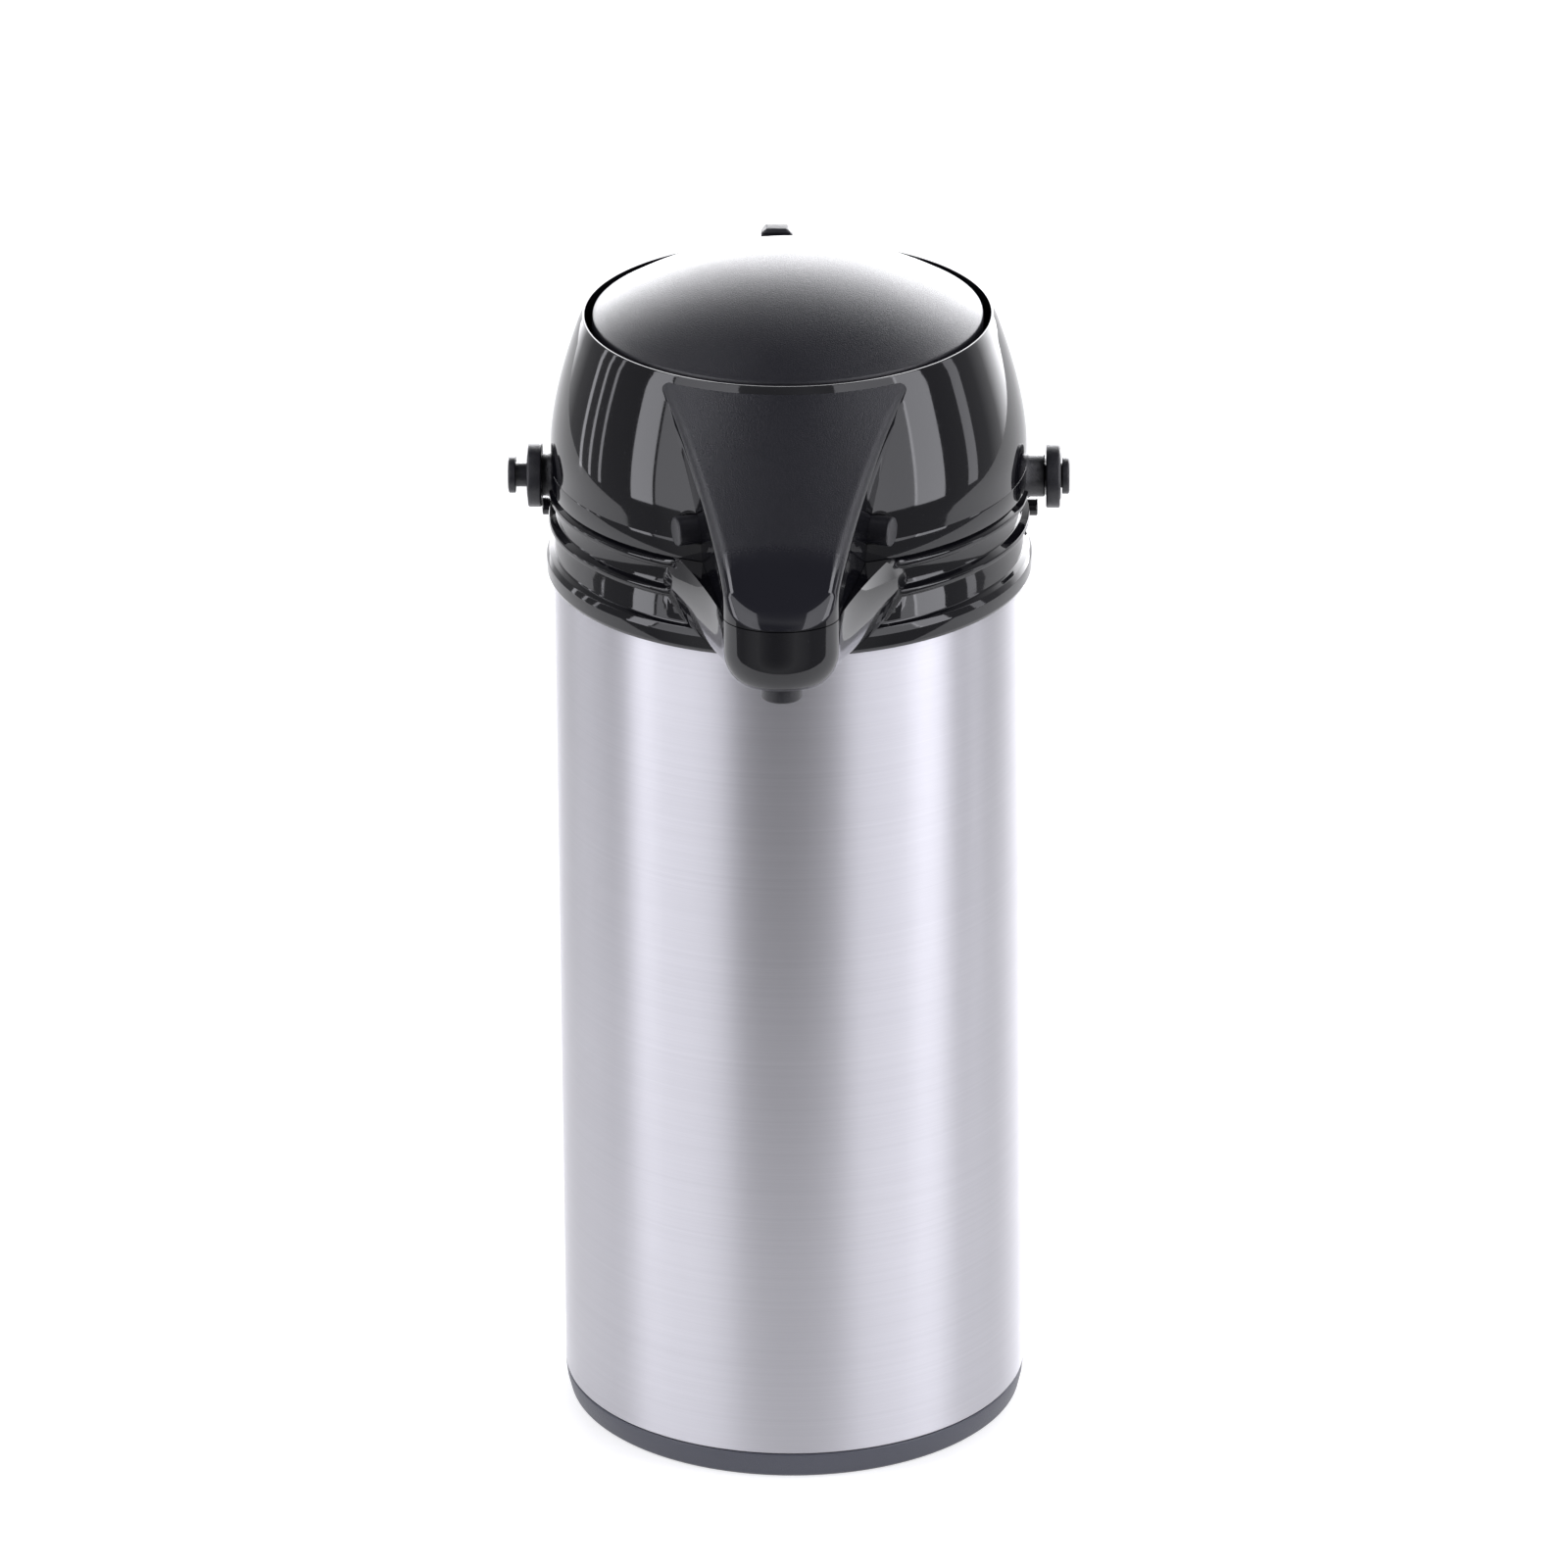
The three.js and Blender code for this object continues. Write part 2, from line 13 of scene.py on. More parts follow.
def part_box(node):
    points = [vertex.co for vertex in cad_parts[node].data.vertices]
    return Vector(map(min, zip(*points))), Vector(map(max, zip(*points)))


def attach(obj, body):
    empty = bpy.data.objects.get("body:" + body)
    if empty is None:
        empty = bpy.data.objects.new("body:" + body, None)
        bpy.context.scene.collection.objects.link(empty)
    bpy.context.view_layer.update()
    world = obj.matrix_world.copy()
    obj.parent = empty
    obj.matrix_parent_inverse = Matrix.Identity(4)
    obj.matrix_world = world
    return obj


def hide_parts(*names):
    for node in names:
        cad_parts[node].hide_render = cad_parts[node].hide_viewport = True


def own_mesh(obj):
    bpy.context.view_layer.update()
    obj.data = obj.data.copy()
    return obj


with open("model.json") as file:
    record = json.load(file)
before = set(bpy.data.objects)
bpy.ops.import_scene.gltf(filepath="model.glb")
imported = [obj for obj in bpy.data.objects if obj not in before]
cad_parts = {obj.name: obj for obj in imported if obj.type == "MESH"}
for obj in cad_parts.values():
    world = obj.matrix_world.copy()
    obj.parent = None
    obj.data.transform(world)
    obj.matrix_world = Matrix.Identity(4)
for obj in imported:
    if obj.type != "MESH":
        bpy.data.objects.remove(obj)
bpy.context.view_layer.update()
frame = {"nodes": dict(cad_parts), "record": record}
MM = 0.001


def box_mm(node):
    """Lowest and highest corner of a CAD node in millimetres."""
    low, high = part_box(node)
    return low / MM, high / MM


# ---------------------------------------------------------------- camera, lights and floor

CAMERA_AZIMUTH = math.radians(1.3)
CAMERA_ELEVATION = math.radians(23.3)
CAMERA_DISTANCE = 3.2
CAMERA_TARGET = Vector((0, 0, 0.1929))
CAMERA_LENS = 252.3
CAMERA_SHIFT = (-0.0044, -0.0015)
CAMERA_ROLL = math.radians(-0.38)
CAMERA_REACH = 30

LIGHT_TINT = (0.94, 0.94, 1.0)
LIGHT_DISTANCE = 1.2
LIGHT_TOP = 1.5
WINDOW_TOP = 1.3
LID_HEIGHT = 0.3

# Upright lights: azimuth in degrees, width, height and brightness
SOFT_BOXES = {
    "box_right": (45, 0.78, LIGHT_TOP, 1.5),
    "strip_right": (70, 0.36, LIGHT_TOP, 3.1),
    "strip_right_far": (97, 0.14, LIGHT_TOP, 1.5),
    "box_left": (-45, 0.8, LIGHT_TOP, 1.45),
    "strip_left": (-71, 0.26, LIGHT_TOP, 3.1),
    "window_left_near": (-98, 0.04, WINDOW_TOP, 2.0),
    "window_left_mid": (-106, 0.04, WINDOW_TOP, 2.2),
    "window_left_far": (-114, 0.05, WINDOW_TOP, 2.2),
}

# Square lights above, one on each side: azimuth and elevation in degrees, distance, size and brightness
OVERHEAD = (78, 56, 1.5, 0.5, 4.0)

# Brightness seen in reflections, from the spout's side at 0 to behind at 1
WORLD_AROUND = [(0.0, 0.10), (0.02, 0.12), (0.09, 0.5), (0.25, 0.26), (0.5, 0.26), (0.76, 0.34), (0.84, 0.9),
                (0.9, 3.4), (1.0, 9.0)]
# Share of the plain ceiling in it, from straight down at 0 to overhead at 1
WORLD_ABOVE = [(0.0, 0.0), (0.72, 0.0), (0.888, 0.72), (0.97, 1.0)]
WORLD_CEILING = (0.10, 0.10, 0.11)
WORLD_TURN = 0.139

FLOOR_RADIUS = 1.2
FLOOR_BEHIND = 0.78
FLOOR_CORNERS = 128


def direction(azimuth, elevation):
    """Unit vector from the object: azimuth 0 is the spout's side, positive towards +X."""
    flat = math.cos(elevation)
    return Vector((math.sin(azimuth) * flat, -math.cos(azimuth) * flat, math.sin(elevation)))


def make_camera():
    data = bpy.data.cameras.new("camera")
    data.lens = CAMERA_LENS
    data.shift_x, data.shift_y = CAMERA_SHIFT
    data.clip_end = CAMERA_REACH
    camera = bpy.data.objects.new("camera", data)
    bpy.context.scene.collection.objects.link(camera)
    back = direction(CAMERA_AZIMUTH, CAMERA_ELEVATION)
    camera.location = CAMERA_TARGET + back * CAMERA_DISTANCE
    camera.rotation_mode = "QUATERNION"
    roll = Quaternion((0, 0, 1), CAMERA_ROLL)
    camera.rotation_quaternion = (-back).to_track_quat("-Z", "Y") @ roll
    bpy.context.scene.camera = camera


def area_light(name, toward, place, width, height, radiance):
    """A light that faces the flask from the direction toward, given by the brightness of its face."""
    data = bpy.data.lights.new(name, "AREA")
    data.shape = "RECTANGLE"
    data.size = width
    data.size_y = height
    data.energy = radiance * 4 * width * height
    data.color = LIGHT_TINT
    light = bpy.data.objects.new(name, data)
    bpy.context.scene.collection.objects.link(light)
    light.location = place
    light.rotation_mode = "QUATERNION"
    light.rotation_quaternion = toward.to_track_quat("Z", "Y")
    light.visible_camera = False


def make_lights():
    for name, (azimuth, width, height, radiance) in SOFT_BOXES.items():
        toward = direction(math.radians(azimuth), 0)
        place = toward * LIGHT_DISTANCE + Vector((0, 0, height / 2))
        area_light(name, toward, place, width, height, radiance)
    azimuth, elevation, distance, size, radiance = OVERHEAD
    for side, label in ((1, "right"), (-1, "left")):
        toward = direction(math.radians(side * azimuth), math.radians(elevation))
        place = Vector((0, 0, LID_HEIGHT)) + toward * distance
        area_light(f"overhead_{label}", toward, place, size, size, radiance)


def make_studio():
    scene = bpy.context.scene
    scene.view_settings.view_transform = "Standard"
    world = bpy.data.worlds.new("studio")
    scene.world = world
    world.use_nodes = True
    graph = Graph(world.node_tree)
    seen = graph.add("ShaderNodeTexCoord").outputs["Generated"]
    axes = graph.add("ShaderNodeSeparateXYZ", Vector=seen).outputs
    turned = graph.math("ADD", axes["Y"], graph.math("MULTIPLY", axes["X"], WORLD_TURN))
    around = graph.ramp(graph.remap(turned, -1, 1), WORLD_AROUND)
    above = graph.ramp(graph.remap(axes["Z"], -1, 1), WORLD_ABOVE)
    sky = graph.mix(above, around, (*WORLD_CEILING, 1))
    studio = graph.add("ShaderNodeBackground", Color=sky, Strength=1.0).outputs[0]
    plain = graph.add("ShaderNodeBackground", Color=(1, 1, 1, 1), Strength=1.0).outputs[0]
    path = graph.add("ShaderNodeLightPath").outputs["Is Camera Ray"]
    shown = graph.add("ShaderNodeMixShader", Fac=path)
    graph.link(studio, shown.inputs[1])
    graph.link(plain, shown.inputs[2])
    graph.link(shown.outputs[0], graph.output("ShaderNodeOutputWorld").inputs["Surface"])
    make_lights()


def make_floor():
    mesh = bpy.data.meshes.new("floor")
    turns = [2 * math.pi * k / FLOOR_CORNERS for k in range(FLOOR_CORNERS)]
    corners = [(FLOOR_RADIUS * math.cos(a), FLOOR_BEHIND + FLOOR_RADIUS * math.sin(a), 0) for a in turns]
    mesh.from_pydata(corners, [], [tuple(range(FLOOR_CORNERS))])
    floor = bpy.data.objects.new("floor", mesh)
    bpy.context.scene.collection.objects.link(floor)
    mesh.materials.append(floor_look())


# ---------------------------------------------------------------- node graphs and materials

class Graph:
    """Short calls for building a node tree."""

    def __init__(self, tree):
        self.tree = tree
        tree.nodes.clear()

    def add(self, kind, **inputs):
        node = self.tree.nodes.new(kind)
        for name, value in inputs.items():
            self.put(node.inputs[name.replace("_", " ")], value)
        return node

    def put(self, socket, value):
        if isinstance(value, bpy.types.NodeSocket):
            self.link(value, socket)
        else:
            socket.default_value = value

    def link(self, source, target):
        self.tree.links.new(source, target)

    def output(self, kind):
        return self.tree.nodes.new(kind)

    def remap(self, value, low, high, to_low=0.0, to_high=1.0):
        node = self.add("ShaderNodeMapRange", Value=value)
        for name, number in zip(("From Min", "From Max", "To Min", "To Max"), (low, high, to_low, to_high)):
            node.inputs[name].default_value = number
        return node.outputs["Result"]

    def ramp(self, factor, stops):
        node = self.add("ShaderNodeValToRGB", Fac=factor)
        elements = node.color_ramp.elements
        while len(elements) < len(stops):
            elements.new(0.5)
        for element, (place, level) in zip(elements, stops):
            element.position = place
            element.color = (*level, 1) if isinstance(level, tuple) else (level, level, level * 1.03, 1)
        return node.outputs["Color"]

    def mix(self, factor, first, second):
        node = self.tree.nodes.new("ShaderNodeMix")
        node.data_type = "RGBA"
        self.put(node.inputs["Factor"], factor)
        self.put(node.inputs["A"], first)
        self.put(node.inputs["B"], second)
        return node.outputs["Result"]

    def math(self, kind, first, second=0.0):
        node = self.tree.nodes.new("ShaderNodeMath")
        node.operation = kind
        self.put(node.inputs[0], first)
        self.put(node.inputs[1], second)
        return node.outputs[0]

    def noise(self, scale, detail=3.0, stretch=(1, 1, 1), roughness=0.55):
        """Noise in the object's own space; scale counts features to the metre before stretching."""
        place = self.tree.nodes.new("ShaderNodeTexCoord").outputs["Object"]
        spread = self.add("ShaderNodeMapping", Vector=place, Scale=stretch).outputs["Vector"]
        node = self.add("ShaderNodeTexNoise", Vector=spread, Scale=scale, Detail=detail, Roughness=roughness)
        return node.outputs["Fac"]

    def bump(self, height, strength, distance):
        node = self.add("ShaderNodeBump", Height=height, Strength=strength, Distance=distance)
        return node.outputs["Normal"]


def look(name, build, **values):
    """A Principled material; build(graph) returns the sockets that vary over the surface."""
    material = bpy.data.materials.new(name)
    material.use_nodes = True
    graph = Graph(material.node_tree)
    shader = graph.add("ShaderNodeBsdfPrincipled")
    for key, value in {**values, **build(graph)}.items():
        graph.put(shader.inputs[key], value)
    graph.link(shader.outputs[0], graph.output("ShaderNodeOutputMaterial").inputs["Surface"])
    return material


def floor_look():
    def build(graph):
        cloud = graph.noise(6, 2)
        return {"Roughness": graph.remap(cloud, 0, 1, 0.7, 0.85),
                "Base Color": graph.mix(cloud, (0.50, 0.50, 0.51, 1), (0.53, 0.53, 0.54, 1))}
    return look("pale_floor", build, **{"Emission Color": (1, 1, 1, 1), "Emission Strength": 0.62})


def steel_look():
    """Brushed round the flask: fine lines run level, and tone drifts slowly."""
    def build(graph):
        lines = graph.noise(1, 4, (7, 7, 5200), 0.7)
        coarse = graph.noise(1, 2, (4, 4, 900), 0.5)
        drift = graph.noise(9, 2)
        grain = graph.math("ADD", graph.math("MULTIPLY", lines, 0.65), graph.math("MULTIPLY", coarse, 0.35))
        tone = graph.ramp(grain, [(0.3, (0.465, 0.46, 0.49)), (0.7, (0.53, 0.525, 0.555))])
        rough = graph.math("ADD", graph.remap(grain, 0.3, 0.7, 0.37, 0.46),
                           graph.remap(drift, 0.3, 0.7, -0.02, 0.03))
        tangent = graph.tree.nodes.new("ShaderNodeTangent")
        tangent.direction_type = "RADIAL"
        tangent.axis = "Z"
        return {"Base Color": tone, "Roughness": rough, "Tangent": tangent.outputs[0],
                "Normal": graph.bump(grain, 0.12, 0.0001)}
    return look("brushed_steel", build, Metallic=1.0, Anisotropic=0.85, **{"Anisotropic Rotation": 0.25})


def gloss_look(name, color):
    """Moulded gloss plastic: a mirror finish with slight waviness, hairline scuffs and a little dust."""
    def build(graph):
        wave = graph.noise(38, 1)
        scuffs = graph.noise(1, 5, (260, 260, 2600), 0.75)
        dust = graph.noise(1900, 2)
        specks = graph.remap(dust, 0.72, 0.78)
        tone = graph.mix(specks, (*color, 1), (0.03, 0.03, 0.035, 1))
        rough = graph.math("ADD", graph.remap(scuffs, 0.45, 0.75, 0.035, 0.10),
                           graph.math("MULTIPLY", specks, 0.2))
        return {"Base Color": tone, "Roughness": rough, "Normal": graph.bump(wave, 0.18, 0.0006)}
    return look(name, build, **{"IOR": 1.52})


LIP_BLEND = 0.004
LIP_ROUGHNESS = 0.07
SATIN_DEPTH = 0.5


def satin_look(name, color, rough, lip=None):
    """Moulded satin plastic with a fine grain; lip is the y, in metres, past which it turns glossy."""
    def build(graph):
        fine = graph.noise(2600, 3)
        broad = graph.noise(30, 3)
        flecks = graph.remap(graph.noise(1400, 2), 0.74, 0.8)
        light = tuple(min(1.0, c * 1.3) for c in color)
        tone = graph.mix(broad, (*color, 1), (*light, 1))
        pale = tuple(min(1.0, c * 3) for c in color)
        tone = graph.mix(graph.math("MULTIPLY", flecks, 0.5), tone, (*pale, 1))
        dull = graph.math("ADD", graph.remap(fine, 0.3, 0.7, rough - 0.04, rough + 0.05),
                          graph.remap(broad, 0.3, 0.7, -0.03, 0.03))
        depth = SATIN_DEPTH
        if lip is not None:
            place = graph.tree.nodes.new("ShaderNodeTexCoord").outputs["Object"]
            y = graph.add("ShaderNodeSeparateXYZ", Vector=place).outputs["Y"]
            matt = graph.remap(y, lip - LIP_BLEND, lip + LIP_BLEND)
            duller = graph.math("MULTIPLY", graph.math("SUBTRACT", dull, LIP_ROUGHNESS), matt)
            dull = graph.math("ADD", duller, LIP_ROUGHNESS)
            depth = graph.math("MULTIPLY", matt, SATIN_DEPTH)
        return {"Base Color": tone, "Roughness": dull, "Normal": graph.bump(fine, depth, 0.0002)}
    return look(name, build, **{"IOR": 1.5})


def rubber_look(name, color, rough):
    def build(graph):
        fine = graph.noise(900, 4)
        tone = graph.mix(fine, (*color, 1), (*[c * 0.8 for c in color], 1))
        return {"Base Color": tone, "Roughness": graph.remap(fine, 0.3, 0.7, rough - 0.06, rough + 0.06),
                "Normal": graph.bump(fine, 0.2, 0.0002)}
    return look(name, build)


def metal_look(name, color, rough):
    def build(graph):
        fine = graph.noise(700, 4, (1, 1, 4))
        return {"Base Color": graph.mix(fine, (*color, 1), (*[c * 0.85 for c in color], 1)),
                "Roughness": graph.remap(fine, 0.3, 0.7, rough * 0.7, rough * 1.4),
                "Normal": graph.bump(fine, 0.06, 0.0001)}
    return look(name, build, Metallic=1.0)


SATIN_BLACK = (0.0085, 0.0085, 0.0115)
LOOKS = {
    "steel": steel_look(),
    "glossBlack": gloss_look("gloss_black", (0.004, 0.004, 0.0055)),
    "satinBlack": satin_look("satin_black", SATIN_BLACK, 0.33),
    "baseBlack": satin_look("base_black", (0.040, 0.042, 0.056), 0.42),
    "glass": metal_look("silvered_glass", (0.86, 0.87, 0.89), 0.05),
    "rubber": rubber_look("black_rubber", (0.03, 0.03, 0.032), 0.62),
    "silicone": rubber_look("milky_silicone", (0.72, 0.70, 0.66), 0.45),
    "whitePlastic": satin_look("white_plastic", (0.74, 0.73, 0.70), 0.38),
    "springSteel": metal_look("spring_steel", (0.62, 0.63, 0.65), 0.22),
}
PANEL_LOOK = satin_look("panel_satin", SATIN_BLACK, 0.32, lip=-0.101)

# ---------------------------------------------------------------- mesh helpers

SHALLOW_TURN = 0.35
ROUNDED_SHARE = 0.45
ON_AXIS = 1e-6


def finish_mesh(name, mesh, body, slot, replaces=(), sharp=32):
    """Puts a mesh in the scene with its materials, soft shading and CAD places."""
    for polygon in mesh.polygons:
        polygon.use_smooth = True
    mesh.set_sharp_from_angle(angle=math.radians(sharp))
    piece = bpy.data.objects.new(name, mesh)
    bpy.context.scene.collection.objects.link(piece)
    if not mesh.materials:
        mesh.materials.append(LOOKS[slot])
    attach(piece, body)
    if replaces:
        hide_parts(*replaces)
    return piece


def mesh_from(work, name):
    """Turns a finished bmesh into a mesh and frees it."""
    mesh = bpy.data.meshes.new(name)
    work.to_mesh(mesh)
    work.free()
    return mesh


def curve_point(start, corner, end, t):
    """A point, t from 0 to 1, of the curve that rounds a corner."""
    return start * (1 - t) ** 2 + corner * 2 * t * (1 - t) + end * t ** 2


def fillet(points, radius, closed=False, steps=4):
    """Rounds the corners of a (radius, height) outline. A point's third number is its own rounding."""
    count = len(points)
    result = []
    for i, point in enumerate(points):
        here = Vector(point[:2])
        own = point[2] if len(point) > 2 else radius
        if not closed and i in (0, count - 1):
            result.append(tuple(here))
            continue
        before = Vector(points[i - 1][:2]) - here
        after = Vector(points[(i + 1) % count][:2]) - here
        turn = math.pi - before.angle(after)
        if own <= 0 or turn < SHALLOW_TURN:
            result.append(tuple(here))
            continue
        room = min(before.length, after.length) * ROUNDED_SHARE
        reach = min(own * math.tan(turn / 2), room)
        start = here + before.normalized() * reach
        end = here + after.normalized() * reach
        for k in range(steps + 1):
            result.append(tuple(curve_point(start, here, end, k / steps)))
    return result


def spin(outline, facets=160, reshape=None):
    """A turned mesh about Z. An outline that touches the axis at both ends is closed there."""
    area = sum(a[0] * b[1] - b[0] * a[1] for a, b in zip(outline, outline[1:] + outline[:1]))
    if area < 0:
        outline = outline[::-1]
    work = bmesh.new()
    rows = []
    for r, z in outline:
        if r < ON_AXIS:
            rows.append([work.verts.new((0, 0, z * MM))] * facets)
            continue
        row = []
        for i in range(facets):
            angle = 2 * math.pi * i / facets
            radius = reshape(r, z, angle) if reshape else r
            row.append(work.verts.new((radius * math.cos(angle) * MM, radius * math.sin(angle) * MM, z * MM)))
        rows.append(row)
    pairs = list(zip(rows, rows[1:]))
    if outline[0][0] > ON_AXIS:
        pairs.append((rows[-1], rows[0]))
    for low, high in pairs:
        for i in range(facets):
            j = (i + 1) % facets
            corners = []
            for vert in (low[i], low[j], high[j], high[i]):
                if vert not in corners:
                    corners.append(vert)
            if len(corners) > 2:
                work.faces.new(corners)
    return mesh_from(work, "turned")


def shift(x, y, z):
    """The matrix of a move in millimetres."""
    return Matrix.Translation((x * MM, y * MM, z * MM))


def moved(mesh, matrix):
    mesh.transform(matrix)
    if matrix.to_3x3().determinant() < 0:
        mesh.flip_normals()
    return mesh


def along_x(mesh, side, y, z):
    """Turns a mesh made about Z so that its far end points to the side's outside."""
    turn = Matrix.Rotation(side * math.pi / 2, 4, "Y")
    return moved(mesh, shift(0, y, z) @ turn)


def grid_block(columns, rows, levels, point, top_index=0):
    """A closed block of quads; point(a, b, c) gives the corner for a, b, c from 0 to 1."""
    work = bmesh.new()
    made = {}

    def corner(i, j, k):
        key = (i, j, k)
        if key not in made:
            made[key] = work.verts.new(Vector(point(i / columns, j / rows, k / levels)) * MM)
        return made[key]

    def face(index, *keys):
        work.faces.new([corner(*key) for key in keys]).material_index = index

    for i in range(columns):
        for j in range(rows):
            face(0, (i, j, 0), (i, j + 1, 0), (i + 1, j + 1, 0), (i + 1, j, 0))
            face(top_index, (i, j, levels), (i + 1, j, levels), (i + 1, j + 1, levels), (i, j + 1, levels))
    for k in range(levels):
        for i in range(columns):
            face(0, (i, 0, k), (i + 1, 0, k), (i + 1, 0, k + 1), (i, 0, k + 1))
            face(0, (i + 1, rows, k), (i, rows, k), (i, rows, k + 1), (i + 1, rows, k + 1))
        for j in range(rows):
            face(0, (0, j + 1, k), (0, j, k), (0, j, k + 1), (0, j + 1, k + 1))
            face(0, (columns, j, k), (columns, j + 1, k), (columns, j + 1, k + 1), (columns, j, k + 1))
    bmesh.ops.recalc_face_normals(work, faces=work.faces)
    return mesh_from(work, "block")


def combine(first, steps, looks):
    """Joins and cuts closed meshes in order; steps holds (operation, mesh) pairs."""
    holder = bpy.data.objects.new("whole", first)
    bpy.context.scene.collection.objects.link(holder)
    helpers = []
    for operation, mesh in steps:
        helper = bpy.data.objects.new("helper", mesh)
        bpy.context.scene.collection.objects.link(helper)
        for material in looks:
            mesh.materials.append(material)
        modifier = holder.modifiers.new(operation, "BOOLEAN")
        modifier.operation = operation
        modifier.solver = "MANIFOLD"
        modifier.object = helper
        helpers.append(helper)
    for material in looks:
        first.materials.append(material)
    bpy.context.view_layer.update()
    graph = bpy.context.evaluated_depsgraph_get()
    result = bpy.data.meshes.new_from_object(holder.evaluated_get(graph))
    for used in [holder, *helpers]:
        bpy.data.objects.remove(used)
    return result


def rounded_box(low, high, radius):
    """A box with rounded edges between two corners in millimetres."""
    work = bmesh.new()
    bmesh.ops.create_cube(work, size=1)
    size = Vector(high) - Vector(low)
    middle = (Vector(high) + Vector(low)) / 2
    for vert in work.verts:
        vert.co = (Vector([a * b for a, b in zip(vert.co, size)]) + middle) * MM
    if radius:
        bmesh.ops.bevel(work, geom=work.edges[:], offset=radius * MM, segments=3, profile=0.5, affect="EDGES")
    return mesh_from(work, "box")


def rod(radius, low, high, round_off=0.0, facets=48):
    outline = [(0, low), (radius, low), (radius, high), (0, high)]
    return spin(fillet(outline, round_off), facets)


def tube(points, outer, inner=0.0, facets=24):
    """A round tube or wire along points in millimetres, closed at both ends."""
    points = [Vector(point) for point in points]
    work = bmesh.new()
    sideways = Vector((1, 0, 0))
    rings = []
    for i, point in enumerate(points):
        ahead = (points[min(i + 1, len(points) - 1)] - points[max(i - 1, 0)]).normalized()
        sideways = (sideways - ahead * sideways.dot(ahead)).normalized()
        upward = ahead.cross(sideways)
        turns = [2 * math.pi * k / facets for k in range(facets)]
        spokes = [sideways * math.cos(a) + upward * math.sin(a) for a in turns]
        rings.append([[work.verts.new((point + spoke * radius) * MM) for spoke in spokes]
                      for radius in ((outer, inner) if inner else (outer,))])
    for low, high in zip(rings, rings[1:]):
        for first, second in zip(low, high):
            for k in range(facets):
                j = (k + 1) % facets
                work.faces.new((first[k], first[j], second[j], second[k]))
    for end in (rings[0], rings[-1]):
        if not inner:
            work.faces.new(end[0])
            continue
        for k in range(facets):
            j = (k + 1) % facets
            work.faces.new((end[0][k], end[0][j], end[1][j], end[1][k]))
    bmesh.ops.recalc_face_normals(work, faces=work.faces)
    return mesh_from(work, "tube")


# ---------------------------------------------------------------- flask

BODY = box_mm("steel_body")
BODY_RADIUS = BODY[1].x
STEEL_BOTTOM, STEEL_TOP = BODY[0].z, BODY[1].z
COLLAR_BOTTOM = STEEL_TOP - 5
PARTING = box_mm("lid_shell")[0].z
BASE_TOP = STEEL_BOTTOM - 0.3
BOWL_HEIGHT = 38
BOWL_STEPS = 14
SHOULDER_HEIGHT = 30
SHOULDER_STEPS = 12


def make_base():
    lip = BODY_RADIUS - 0.9
    outline = [(62.2, 0, 0.4), (65.6, 0, 0.6), (66.7, 0.9, 1.2), (67.7, 5, 3),
               (BODY_RADIUS, BASE_TOP - 0.4, 0.3), (BODY_RADIUS - 0.3, BASE_TOP, 0.1), (lip, BASE_TOP, 0),
               (lip, 14, 0.4), (64.6, 14, 0.4), (64.6, 6, 0.5), (62.2, 6, 0.4)]
    ring = spin(fillet(outline, 0.5, True), 192)
    finish_mesh("base_ring_moulded", ring, "flask", "baseBlack", ["base_ring"])
    plate = [(0, 0), (16, 0, 0.2), (16.6, 0.5, 0.2), (17.8, 0.5, 0.2), (18.4, 0, 0.2), (50, 0, 0.2),
             (50.8, 0.7, 0.2), (52.4, 0.7, 0.2), (53.2, 0, 0.2), (61.3, 0, 0.4), (61.7, 0.5, 0.3), (61.7, 3),
             (33, 3), (33, 9), (30, 9), (30, 3), (0, 3)]
    finish_mesh("base_plate_moulded", spin(fillet(plate, 0.3), 128), "flask", "baseBlack", ["base_plate"])


def make_steel():
    inner = BODY_RADIUS - 0.6
    outline = [(inner, STEEL_BOTTOM), (BODY_RADIUS - 0.25, STEEL_BOTTOM), (BODY_RADIUS, STEEL_BOTTOM + 0.35),
               (BODY_RADIUS, STEEL_TOP), (inner, STEEL_TOP)]
    finish_mesh("steel_shell", spin(fillet(outline, 0.15, True), 256), "flask", "steel", ["steel_body"])


def make_liner():
    mouth = box_mm("glass_liner")[1].z
    seal_low, seal_high = box_mm("neck_seal")

    def wall(radius, neck, bottom, shoulder):
        up = [math.pi / 2 * k / BOWL_STEPS for k in range(BOWL_STEPS + 1)]
        bowl = [(radius * math.sin(a), bottom + BOWL_HEIGHT * (1 - math.cos(a)), 0) for a in up]
        over = [math.pi / 2 * k / SHOULDER_STEPS for k in range(SHOULDER_STEPS)]
        start = shoulder - SHOULDER_HEIGHT
        cap = [(neck + (radius - neck) * math.cos(a), start + SHOULDER_HEIGHT * math.sin(a), 0) for a in over]
        return bowl + cap + [(neck, shoulder, 3.0), (neck, mouth, 0.8)]

    inside = wall(56, 24.3, 25, 242)
    outside = wall(62, 29.2, 17, 249)
    outline = outside + inside[::-1]
    finish_mesh("vacuum_liner", spin(fillet(outline, 0, False), 128), "flask", "glass", ["glass_liner"], 50)
    seal = [(24.6, seal_low.z), (seal_high.x, seal_low.z), (seal_high.x, seal_high.z), (24.6, seal_high.z)]
    finish_mesh("neck_seal_ring", spin(fillet(seal, 0.8, True), 96), "flask", "rubber", ["neck_seal"])


# ---------------------------------------------------------------- spout, shared by collar and lid

